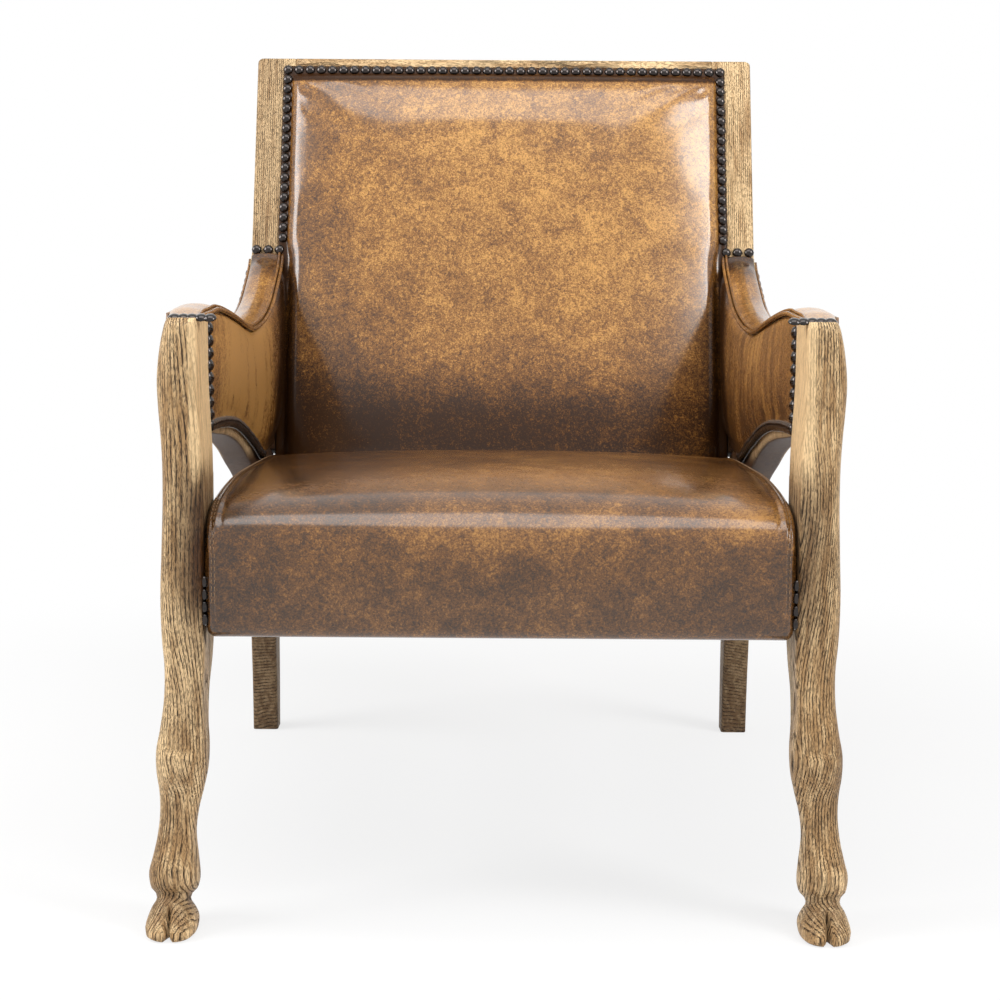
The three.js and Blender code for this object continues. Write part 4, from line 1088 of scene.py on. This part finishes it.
def make_back():
    def glow(hide, x, y, z):
        """Paler right of the middle; darker low down, partly a darker hide and partly painted shade
        where the seat and arms close in; painted shade beside the arms and between the nails on the
        border; a little darker to the left.
        """
        lit = ((x - 0.06) * 3.2) * ((x - 0.06) * 3.2) + ((z - 0.78) * 3.6) * ((z - 0.78) * 3.6)
        centre = hide.fade(lit, 0.1, 1.3)
        # Painted shade low down where the seat and arms close in, over a darker hide
        low = hide.fade(z, 0.45, 0.55)
        # Painted shade on the pad's sides next to the arm panels
        shade_beside_arms = hide.step(abs(x), 0.262, 0.292) * hide.fade(z, 0.66, 0.7)
        # Painted shade on the border, where it falls between the nail heads
        border = hide.step(abs(x), 0.2925, 0.2955).most(hide.step(z, 0.912, 0.917))
        left = hide.fade(x, -0.28, -0.06)
        return centre * 0.2 - low * 0.48 - shade_beside_arms * 0.35 - border * 0.7 - left * 0.1 - 0.02

    def dull(hide, x, y, z):
        """No polish on the border, and less low down."""
        border = hide.step(abs(x), 0.292, 0.295).most(hide.step(z, 0.911, 0.916)) * 0.9
        return border.most(hide.fade(z, 0.45, 0.56) * 0.6)

    def tacked(place):
        rise = (place - foot).dot(BACK_UP) / MM
        depth = (place - foot).dot(BACK_REARWARD) / MM
        wide = BACK_NARROW if rise < BACK_STEP else BACK_WIDE
        at_side = abs(place.x) / MM > wide - BACK_TACKED_SIDE
        at_end = rise < 0 or rise > BACK_TOP - BACK_TACKED_TOP
        return at_side or at_end or depth > BACK_TACKED_REAR

    section = back_section()
    scaled = [(rise, edge * BACK_ROW_SCALE, half) for rise, edge, half in BACK_ROWS]
    rows = smooth_rows(scaled, BACK_ROW_STEP, (BACK_ROW_CORNER,))

    def ring(rise, edge, half, flat=1.0):
        front, rear = [], []
        for x, depth in section:
            x = x * half / BACK_WIDE
            reach = FIT_GAP + (BACK_BORDER + edge * depth) * flat
            front.append(on_back(x, -reach, rise))
            rear.append(on_back(x, -FIT_GAP, rise))
        return front + rear[::-1]

    foot = on_back(0, 0, 0)
    low, high = rows[0], rows[-1]
    rings = [ring(low[0], 1, low[2], flat) for flat in BACK_FOOT_SHARES]
    rings += [ring(rise, edge / BACK_ROW_SCALE, half) for rise, edge, half in rows]
    rings.append(ring(high[0], 0, high[2], 0))
    material = leather("leather_back", 1.0, 0.11, glow, dull)
    pad = shape(rings, "back_pad", material, ["back_cover", "back_foam"], closed=False)
    stuff(pad, tacked, size("back_swell"))


# Arms

# Along the side and up: the line under the arm pads, and the panels' lower edge
ARM_LINE_SHARES = [
    (-0.105, 1.001), (0.029, 1.001), (0.08, 1.002), (0.143, 0.998), (0.271, 0.984),
    (0.389, 0.968), (0.507, 0.95), (0.598, 0.939), (0.704, 0.939), (0.844, 0.95),
    (0.953, 0.971), (1.035, 1.001), (1.099, 1.028), (1.137, 1.049), (1.156, 1.066),
]
PANEL_LOW_SHARES = [
    (0, 0.812), (0.08, 0.809), (0.189, 0.801), (0.318, 0.787), (0.449, 0.762), (0.553, 0.735),
    (0.644, 0.71), (0.709, 0.689), (0.757, 0.675), (0.88, 0.674), (1.164, 0.674),
]
PAD_INNER_X = 303.4
PAD_WIDTH = 39
PAD_CROWN = 12
# Share of the width from the inside out, and share of the crown there
PAD_SECTION = [
    (0, 0), (0, 0.2), (0.05, 0.42), (0.13, 0.63), (0.22, 0.78), (0.32, 0.9), (0.42, 0.97),
    (0.52, 1), (0.62, 0.98), (0.72, 0.92), (0.82, 0.8), (0.9, 0.62), (0.96, 0.42), (1, 0.2), (1, 0),
]
PAD_FRONT_Y = 19
PAD_FRONT_WIDTH = 31
PAD_UNDER_STEPS = 8
WELT_RADIUS = 2.4
UPPER_WELT_RADIUS = 1.7
CORD_SIDES = 8
PANEL_FACE_X = 303.1
PANEL_BULGE = 11.4
PANEL_BORDER = 14
# Share of the height over the border, and share of the bulge there
PANEL_SECTION = [
    (0, 0), (0.05, 0.25), (0.1, 0.45), (0.18, 0.68), (0.28, 0.85), (0.4, 0.95), (0.52, 1),
    (0.65, 0.93), (0.78, 0.78), (0.88, 0.53), (0.95, 0.28), (1, 0),
]
PANEL_STEP = 9
OUTSIDE_STEPS = 10
OUTSIDE_BULGE = 1.6
# How far the panels' edges, and the nails there, stay above the seat. Inside they tuck in
OVER_SEAT = {"inside": -6, "outside": 4}
PANEL_START_Y = ARCH_FRONT_Y + 0.034 * SIDE_RUN
PANEL_END_Y = ARCH_FRONT_Y + 1.153 * SIDE_RUN
OUTSIDE_X = SIDE_OUTER_X + FIT_GAP
OUTSIDE_THICKNESS = 2.8
ARM_LINE = [tuple(row) for row in smooth_rows([on_side(*share) for share in ARM_LINE_SHARES], 5)]
PANEL_LOW = smooth_rows([on_side(*share) for share in PANEL_LOW_SHARES], 7)
SEAT_LINE = [(row[0], row[1] + row[4]) for row in seat_rows()]


def panel_low(y, face="outside"):
    return max(height_on(PANEL_LOW, y), height_on(SEAT_LINE, y) + OVER_SEAT[face])


def panel_high(y):
    return height_on(ARM_LINE, y) - WELT_RADIUS - FIT_GAP


def neighbours(line, i):
    return line[max(0, i - 1)], line[min(len(line) - 1, i + 1)]


def arm_frames(front_y=PAD_FRONT_Y):
    """Points of the arm line from front_y back, each with its upward direction."""
    line = [point for point in ARM_LINE if point[0] >= front_y]
    frames = []
    for i, (y, z) in enumerate(line):
        before, after = neighbours(line, i)
        along = Vector((after[0] - before[0], after[1] - before[1])).normalized()
        frames.append((y, z, -along.y, along.x))
    return frames


def arm_pad_rings(side):
    frames = arm_frames()
    last = len(frames) - 1
    for i, (y, z, up_y, up_z) in enumerate(frames):
        # The pad is fullest behind the elbow and thins out at both ends
        full = ease(y, PAD_FRONT_Y - 12, PAD_FRONT_Y + 50) * (0.35 + 0.65 * ease(last - i, 0, 9))
        full *= 0.55 + 0.5 * ease(y, 190, 340)
        width = PAD_FRONT_WIDTH + (PAD_WIDTH - PAD_FRONT_WIDTH) * ease(y, PAD_FRONT_Y, 90)
        outline = [(across, FIT_GAP + rise * PAD_CROWN * full) for across, rise in PAD_SECTION]
        outline += [(1 - k / PAD_UNDER_STEPS, FIT_GAP) for k in range(1, PAD_UNDER_STEPS)]
        yield [
            at(side * (PAD_INNER_X + across * width), y + up_y * n, z + up_z * n)
            for across, n in outline
        ]


def make_arm_pads():
    def glow(hide, x, y, z):
        """Paler at the front, a painted highlight on the pad's crown there; darker at the outer
        edge and up against the back.
        """
        rear = hide.step(z, 0.64, 0.672)
        # Painted highlight: the front of the pad made paler
        front = hide.fade(y, -0.3, -0.16)
        return 0.1 + front * 0.08 - hide.step(abs(x), 0.336, 0.343) * 0.2 - rear * 0.58

    material = leather("leather_arm_pads", 0.8, 0.73, glow)
    for label, side in SIDES.items():
        name, node, rings = f"padded_arm_{label}", f"arm_pad_{label}", list(arm_pad_rings(side))
        stuff(shape(rings, name, material, [node], behind=FIT_GAP))


def tube(bm, line, radius):
    """A round cord along a line of points in a plane square to x."""
    rings = []
    for i, point in enumerate(line):
        before, after = neighbours(line, i)
        across = Vector((1, 0, 0))
        up = (after - before).cross(across).normalized()
        rings.append([point + (across * c + up * s) * radius for c, s in turns(CORD_SIDES)])
    loft(bm, rings)


def make_arm_welts():
    def glow(hide, x, y, z):
        return hide.noise(hide.place(), 60) * 0.2 - 0.12

    material = leather("leather_welts", 0.6, 0.5, glow)
    # The lower cord's and the upper cord's x, distance from the arm line and radius
    low_x = PAD_INNER_X - FIT_GAP - WELT_RADIUS
    cords = ((low_x, 0.4, WELT_RADIUS), (PAD_INNER_X + 1.2, 4.3, UPPER_WELT_RADIUS))
    for label, side in SIDES.items():
        bm = bmesh.new()
        for x, n, radius in cords:
            line = []
            for y, z, up_y, up_z in arm_frames():
                raised = n * (1 if n < 1 else ease(y, PAD_FRONT_Y, PAD_FRONT_Y + 40))
                line.append(at(side * x, y + up_y * raised, z + up_z * raised))
            tube(bm, line, radius * MM)
        trim_behind(bm, FIT_GAP)
        finish(bm, f"double_welt_{label}", material, [f"arm_welt_{label}"])


def inside_ring(side, y, low, high):
    """One station of an inside panel, which swells towards the back of the chair."""
    along = max(0.0, (y - PANEL_START_Y) / (PANEL_END_Y - PANEL_START_Y))
    bulge = PANEL_BULGE * math.sqrt(along)
    padded_low = low + PANEL_BORDER
    front = [(PANEL_FACE_X, low), (PANEL_FACE_X - 0.2, low + PANEL_BORDER / 2)]
    front += [
        (PANEL_FACE_X - bulge * out ** (1 - 0.62 * along), padded_low + up * (high - padded_low))
        for up, out in PANEL_SECTION
    ]
    back = SIDE_INNER_X - FIT_GAP
    return [at(side * x, y, z) for x, z in front] + [at(side * back, y, z) for x, z in front[::-1]]


def outside_ring(side, y, low, high):
    """One station of an outside panel, almost flat."""
    levels = [(share, low + share * (high - low)) for share in steps(OUTSIDE_STEPS)]
    face = OUTSIDE_X + OUTSIDE_THICKNESS
    outer = [(face + OUTSIDE_BULGE * math.sin(math.pi * share), z) for share, z in levels]
    inner = [(OUTSIDE_X, z) for share, z in reversed(levels)]
    return [at(side * x, y, z) for x, z in outer + inner]


def make_arm_panels():
    def glow(hide, x, y, z):
        """Streaks in the middle of the panels, with painted light there on the left panel; dark low
        down, and painted shade in the crevice beside the back.
        """
        streaks = hide.along(hide.place(), 0.22, 34, 3)
        middle = hide.band(y, -0.34, -0.16, 0.02, 0.2)
        low = hide.fade(z, 0.44, 0.56)
        depth = (y - 0.219) * 0.948 - (z - 0.42) * 0.317
        # Painted shade in the crevice where the panel meets the back
        crevice_shade = hide.step(depth, -0.085, -0.035) * hide.fade(abs(x), 0.318, 0.324)
        # Painted light: the middle of the left panel made paler, the right a little darker
        lit = middle * (0.5 - hide.step(x, -0.1, 0.1) * 0.58)
        return (streaks - 0.4) * 1.5 * middle + lit - low * 0.3 - crevice_shade * 0.7

    material = leather("leather_arms", 0.85, 0.29, glow)
    count = math.ceil((PANEL_END_Y - ARCH_FRONT_Y) / PANEL_STEP)
    stations = [ARCH_FRONT_Y + k * PANEL_STEP for k in range(count)]
    for label, side in SIDES.items():
        name, node = f"inside_panel_{label}", f"inside_arm_{label}"
        rings = [inside_ring(side, y, panel_low(y, "inside"), panel_high(y)) for y in stations]
        behind = 2 * FIT_GAP + BACK_BORDER
        stuff(shape(rings, name, material, [node], behind=behind))
        name, node = f"outside_panel_{label}", f"outside_arm_{label}"
        rings = [outside_ring(side, y, panel_low(y), height_on(ARM_LINE, y)) for y in stations]
        shape(rings, name, material, [node], behind=FIT_GAP)


# Nails

# Share of the radius and share of the height
NAIL_SECTION = [(1, 0), (0.95, 0.3), (0.76, 0.65), (0.42, 0.92)]
NAIL_SIDES = 12
# No two nails sit quite alike: how far they tilt and move, and the scales of that noise,
# which is seeded so that every run sets them the same
NAIL_SEED = 1
NAIL_TILT = 0.09
NAIL_TILT_SCALE = 137
NAIL_SHIFT = 0.0005
NAIL_SHIFT_SCALE = 71
BORDER_NAIL_X = BACK_WIDE - 6.5
BORDER_NAIL_TOP = BACK_TOP - 6.5
BORDER_NAIL_GAPS = (15.4, 14.43)
REAR_NAIL_X = SIDE_INNER_X - 8.9
REAR_NAIL_TOP = BACK_HEIGHT - 22
PLAIN_NAIL_GAP = 18
# Distance from a panel's edge and gaps of the nails up its front and along its arch
PANEL_NAILS = {"inside": (1.8, 12.4, 11.6), "outside": (4.6, PLAIN_NAIL_GAP, PLAIN_NAIL_GAP)}
UNDER_PAD = 13


def nail_mesh():
    """One domed head at the origin, facing up z."""
    radius, height = size("nail_radius"), size("nail_height")
    bm = bmesh.new()
    loft(bm, [
        [Vector((c * out * radius, s * out * radius, rise * height)) for c, s in turns(NAIL_SIDES)]
        for out, rise in NAIL_SECTION
    ])
    tip = max(bm.verts, key=lambda vert: (vert.co.z, -vert.co.xy.length))
    tip.co.z = height
    mesh = bpy.data.meshes.new("nail_head")
    bm.to_mesh(mesh)
    bm.free()
    return mesh


def nail_row(name, lines, facing, stands_for, material):
    """Domed nails along lines of points, each with its pitch and perhaps its own facing."""
    head = nail_mesh()
    bm = bmesh.new()
    for line, pitch, *other in lines:
        outward = Vector(other[0] if other else facing).normalized()
        turn = Vector((0, 0, 1)).rotation_difference(outward).to_matrix().to_4x4()
        for place, _ in spread(line, pitch * MM):
            count = len(bm.verts)
            bm.from_mesh(head)
            bm.verts.ensure_lookup_table()
            tilt = noise.noise_vector(place * NAIL_TILT_SCALE) * NAIL_TILT
            wobble = Matrix.Rotation(tilt.x, 4, "X") @ Matrix.Rotation(tilt.y, 4, "Y")
            shift = noise.noise_vector(place * NAIL_SHIFT_SCALE) * NAIL_SHIFT
            matrix = Matrix.Translation(place + shift) @ turn @ wobble
            bmesh.ops.transform(bm, matrix=matrix, verts=bm.verts[count:])
    bpy.data.meshes.remove(head)
    finish(bm, name, material, [stands_for])


def back_nail_routes():
    """Name, node it stands for, lines with their pitches, and facing of the rows on the back."""
    border = -FIT_GAP - BACK_BORDER
    edge, high = BORDER_NAIL_X, BORDER_NAIL_TOP
    low = BACK_STEP + 15.8
    across, upward = BORDER_NAIL_GAPS
    lines = [([on_back(x, border, high) for x in (-edge - 7.6, edge + 7.6)], across)]
    for x in (-edge, edge):
        lines.append(([on_back(x, border, up) for up in (low, high - 6.8)], upward))
    yield "back_nails", "nails_back", lines, -BACK_REARWARD
    side, top = REAR_NAIL_X, REAR_NAIL_TOP
    behind = STILE_DEPTH + FIT_GAP + 2.5
    corners = [(-side, 0), (-side, top), (side, top), (side, 0)]
    line = [on_back(x, behind, up) for x, up in corners]
    yield "outside_back_nails", "nails_outside_back", [(line, PLAIN_NAIL_GAP)], BACK_REARWARD
    over_pad = (ARM_LINE[-1][1] - BACK_PIVOT_Z) / math.cos(BACK_RECLINE) + 6.8
    for label, s in SIDES.items():
        line = [on_back(s * x, -1.2, over_pad) for x in (296.6, 344)]
        yield f"stile_nails_{label}", f"nails_stile_{label}", [(line, 15.8)], -BACK_REARWARD


def arm_nail_routes():
    """The same for the rows on the arms and at the front of the seat."""
    front_y = ARCH_FRONT_Y + 6
    end_y = ARCH_FRONT_Y + 0.786 * SIDE_RUN
    lower = [y for y, _ in PANEL_LOW if front_y < y < end_y]
    for label, s in SIDES.items():
        line = [at(s * x, PAD_FRONT_Y - 4, ARM_HEIGHT - 0.8) for x in (286.5, 331.5)]
        yield f"arm_front_nails_{label}", f"nails_arm_front_{label}", [(line, 9)], (0, -0.45, 1)
        for face, x, facing in (
            ("inside", PANEL_FACE_X, (-s, -0.4, -0.32)),
            ("outside", OUTSIDE_X + OUTSIDE_THICKNESS, (s, 0, 0)),
        ):
            edge, front_gap, arch_gap = PANEL_NAILS[face]
            ends = (panel_high(front_y) - 7, panel_low(ARCH_FRONT_Y) + 8)
            front = [at(s * x, front_y, z) for z in ends]
            arch = [at(s * x, y, panel_low(y, face) + edge) for y in lower]
            lines = [(front, front_gap), (arch, arch_gap, facing)]
            if face == "outside":
                line = [
                    at(s * x, y - up_y * UNDER_PAD, z - up_z * UNDER_PAD)
                    for y, z, up_y, up_z in arm_frames(front_y)[2:-3]
                ]
                lines.append((line, PLAIN_NAIL_GAP))
            name, node = f"{face}_arm_nails_{label}", f"nails_{face}_arm_{label}"
            yield name, node, lines, (*facing[:2], 0)
        line = [at(s * (SEAT_HALF_WIDTH + 3), SEAT_FRONT_Y + 11, z) for z in (374, 322)]
        yield f"seat_nails_{label}", f"nails_seat_{label}", [(line, 11.6)], (s * 0.3, -1, 0)


def make_nails():
    noise.seed_set(NAIL_SEED)
    material = metal("antique_bronze")
    for name, node, lines, facing in (*back_nail_routes(), *arm_nail_routes()):
        nail_row(name, lines, facing, node, material)


# Rear covers and the hidden frame

CROWNED_STEPS = 12


def crowned_panel(corner, across, up, outward, thick, crown):
    """Rings of a flat-backed panel from a corner along two edges, with a shallow crown."""
    shares = steps(CROWNED_STEPS)
    rings = []
    for s in shares:
        ring = []
        for t in shares:
            rise = thick + crown * math.sin(math.pi * s) * math.sin(math.pi * t)
            ring.append(corner + across * s + up * t + outward * rise * MM)
        ring += [corner + across * s + up * t for t in reversed(shares)]
        rings.append(ring)
    return rings


def make_rear_covers():
    material = leather("leather_rear", 0.8, 0.91)
    half, depth, low = SIDE_INNER_X - 0.9, STILE_DEPTH + FIT_GAP, -8
    corner = on_back(-half, depth, low)
    across = on_back(half, depth, low) - corner
    up = on_back(-half, depth, BACK_HEIGHT - 14) - corner
    rings = crowned_panel(corner, across, up, BACK_REARWARD, 2.5, 1.5)
    shape(rings, "rear_panel", material, ["outside_back"])
    low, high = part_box("rear_border")
    span = high - low
    across, up = Vector((span.x, 0, 0)), Vector((0, 0, span.z))
    rings = crowned_panel(Vector(low), across, up, Vector((0, 1, 0)), span.y / MM, 0.8)
    shape(rings, "rear_band", material, ["rear_border"])


def make_dust_cloth():
    """The black cloth tacked under the seat frame, which sags a little in the middle."""
    material = weave("black_weave", paint(34, 32, 31), paint(52, 49, 47), 0.0016)
    low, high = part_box("dust_cover")
    across, up = Vector((high.x - low.x, 0, 0)), Vector((0, high.y - low.y, 0))
    corner = Vector((low.x, low.y, high.z))
    rings = crowned_panel(corner, across, up, Vector((0, 0, -1)), 1.0, 5)
    cloth = shape(rings, "dust_cloth", material, ["dust_cover"])


def dress_hidden_frame():
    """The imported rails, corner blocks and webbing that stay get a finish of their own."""
    timber = plain_wood("frame_timber")
    straps = weave("jute_webbing", paint(120, 100, 66), paint(176, 156, 112), 0.003)
    wooden = ("seat_rail", "corner_block", "arm_rail", "back_rail")
    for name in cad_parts:
        node = bpy.data.objects[name]
        if any(word in name for word in wooden):
            material = timber
        elif "webbing" in name:
            material = straps
        else:
            continue
        for held in node.material_slots:
            held.material = material


# Stage

CAMERA_Y = -1832
CAMERA_Z = 752
CAMERA_ROLL = 0.4
CAMERA_TILT = 82.5
CAMERA_LENS = 66.74
CAMERA_SENSOR = 36
CAMERA_SHIFT = (-0.0015, -0.0559)
FLOOR_HALF = 14
FLOOR_DROP = 0.0008
WORLD_LIGHT = 0.3
WHITE = (1, 1, 1, 1)
# Name, place, width and height, power and target
SOFT_BOXES = [
    ("left_box", (-2.5, -0.62, 2.0), (1.5, 1.5), 60, (-0.28, 0.29, 0.75)),
    ("right_box", (2.05, -1.32, 2.2), (1.0, 1.5), 46, (0.28, 0.29, 0.75)),
    ("high_box", (-0.1, -0.85, 2.9), (2.2, 1.5), 32, (0, 0, 0.45)),
]


def make_floor():
    """A white floor with the chair's shadow on it, which ends in plain white further off."""
    bm = bmesh.new()
    bmesh.ops.create_grid(bm, x_segments=8, y_segments=8, size=FLOOR_HALF)
    mesh = bpy.data.meshes.new("floor")
    bm.to_mesh(mesh)
    bm.free()
    floor = bpy.data.objects.new("floor", mesh)
    floor.location.z = -FLOOR_DROP
    bpy.context.scene.collection.objects.link(floor)
    ground = Finish("floor_white", Roughness=0.9, Specular_IOR_Level=0.0)
    x, y, _ = ground.split(ground.place())
    far = ground.step((x * x + (y - 0.1) * (y - 0.1)).root(), 0.6, 1.4)
    haze = ground.noise(ground.place(), 3)
    ground.feed(Base_Color=ground.mix(haze, paint(247, 247, 247), paint(252, 252, 252)))
    glow = ground.node("ShaderNodeEmission", sockets={"Color": WHITE, "Strength": 1})
    lit = Wire(ground, ground.shader.outputs[0])
    ground.surface(ground.seeing() * (0.76 + far * 0.24), lit, glow)
    mesh.materials.append(ground.material)
    floor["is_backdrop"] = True


def make_world():
    """White for the rays that see it, and dimmer for what it lights."""
    world = bpy.context.scene.world = bpy.data.worlds.new("studio")
    nodes = Nodes(world)
    dim, bright = [
        nodes.node("ShaderNodeBackground", sockets={"Color": WHITE, "Strength": strength})
        for strength in (WORLD_LIGHT, 1)
    ]
    nodes.surface(nodes.seeing(), dim, bright)


def make_lights():
    for name, place, (width, height), power, target in SOFT_BOXES:
        light = bpy.data.lights.new(name, "AREA")
        light.shape = "RECTANGLE"
        light.size, light.size_y = width, height
        light.energy = power
        lamp = bpy.data.objects.new(name, light)
        lamp.location = place
        aim = Vector(target) - Vector(place)
        lamp.rotation_euler = aim.to_track_quat("-Z", "Y").to_euler()
        bpy.context.scene.collection.objects.link(lamp)


def make_camera():
    scene = bpy.context.scene
    camera = bpy.data.cameras.new("camera")
    camera.lens, camera.sensor_width = CAMERA_LENS, CAMERA_SENSOR
    camera.shift_x, camera.shift_y = CAMERA_SHIFT
    camera.clip_end = 60
    view = scene.camera = bpy.data.objects.new("camera", camera)
    view.location = at(0, CAMERA_Y, CAMERA_Z)
    tilt = Matrix.Rotation(math.radians(CAMERA_TILT), 4, "X")
    roll = Matrix.Rotation(math.radians(CAMERA_ROLL), 4, "Z")
    view.rotation_euler = (tilt @ roll).to_euler()
    scene.collection.objects.link(view)
    scene.view_settings.view_transform = "Standard"


# Operators

class MakeFrontLegs(bpy.types.Operator):
    """Carve the two front legs, from the arm down to the cloven hoof"""

    bl_idname = "armchair.front_legs"
    bl_label = "Front legs"

    def execute(self, context):
        make_front_legs()
        return {"FINISHED"}


class MakeRearLegs(bpy.types.Operator):
    """Shape the sabre rear legs with the arched side rails"""

    bl_idname = "armchair.rear_legs"
    bl_label = "Rear legs"

    def execute(self, context):
        make_rear_legs()
        return {"FINISHED"}


class MakeBackFrame(bpy.types.Operator):
    """Make the two stiles and the crest rail of the raked back"""

    bl_idname = "armchair.back_frame"
    bl_label = "Back frame"

    def execute(self, context):
        make_back_frame()
        return {"FINISHED"}


class MakeSeat(bpy.types.Operator):
    """Stuff the boxed seat and sew its side seams"""

    bl_idname = "armchair.seat"
    bl_label = "Seat"

    def execute(self, context):
        make_seat()
        make_seat_stitches()
        return {"FINISHED"}


class MakeBack(bpy.types.Operator):
    """Stuff the crowned back"""

    bl_idname = "armchair.back"
    bl_label = "Back"

    def execute(self, context):
        make_back()
        return {"FINISHED"}


class MakeArms(bpy.types.Operator):
    """Make the arm pads, their welts, and the panels inside and outside the arms"""

    bl_idname = "armchair.arms"
    bl_label = "Arms"

    def execute(self, context):
        make_arm_pads()
        make_arm_welts()
        make_arm_panels()
        return {"FINISHED"}


class MakeRearCovers(bpy.types.Operator):
    """Cover the rear of the back and the underside of the seat"""

    bl_idname = "armchair.rear_covers"
    bl_label = "Rear covers"

    def execute(self, context):
        make_rear_covers()
        make_dust_cloth()
        dress_hidden_frame()
        return {"FINISHED"}


class MakeNails(bpy.types.Operator):
    """Set the rows of domed nails"""

    bl_idname = "armchair.nails"
    bl_label = "Nails"

    def execute(self, context):
        make_nails()
        return {"FINISHED"}


class MakeStage(bpy.types.Operator):
    """Set the floor, the soft boxes and the camera"""

    bl_idname = "armchair.stage"
    bl_label = "Stage"

    def execute(self, context):
        make_floor()
        make_world()
        make_lights()
        make_camera()
        return {"FINISHED"}


STEPS = [
    MakeStage, MakeFrontLegs, MakeRearLegs, MakeBackFrame, MakeSeat, MakeBack, MakeArms,
    MakeRearCovers, MakeNails,
]


class ArmchairPanel(bpy.types.Panel):
    """The steps that make the armchair, in order"""

    bl_idname = "VIEW3D_PT_armchair"
    bl_label = "Armchair"
    bl_space_type = "VIEW_3D"
    bl_region_type = "UI"
    bl_category = "Armchair"

    def draw(self, context):
        for step in STEPS:
            self.layout.operator(step.bl_idname)
        for group in (context.scene.chair_sizes, context.scene.chair_colours):
            box = self.layout.box()
            for key in group.__annotations__:
                box.prop(group, key)


CLASSES = [ChairSizes, ChairColours, *STEPS, ArmchairPanel]


def register():
    for kind in CLASSES:
        bpy.utils.register_class(kind)
    bpy.types.Scene.chair_sizes = PointerProperty(type=ChairSizes)
    bpy.types.Scene.chair_colours = PointerProperty(type=ChairColours)


def unregister():
    del bpy.types.Scene.chair_colours
    del bpy.types.Scene.chair_sizes
    for kind in reversed(CLASSES):
        bpy.utils.unregister_class(kind)


def main():
    register()
    for step in STEPS:
        group, name = step.bl_idname.split(".")
        getattr(getattr(bpy.ops, group), name)()
    sizes = {"cad": CAD_BOUNDS, "visual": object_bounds()}
    plain = {key: [list(corner) for corner in value] for key, value in sizes.items()}


if __name__ == "__main__":
    main()
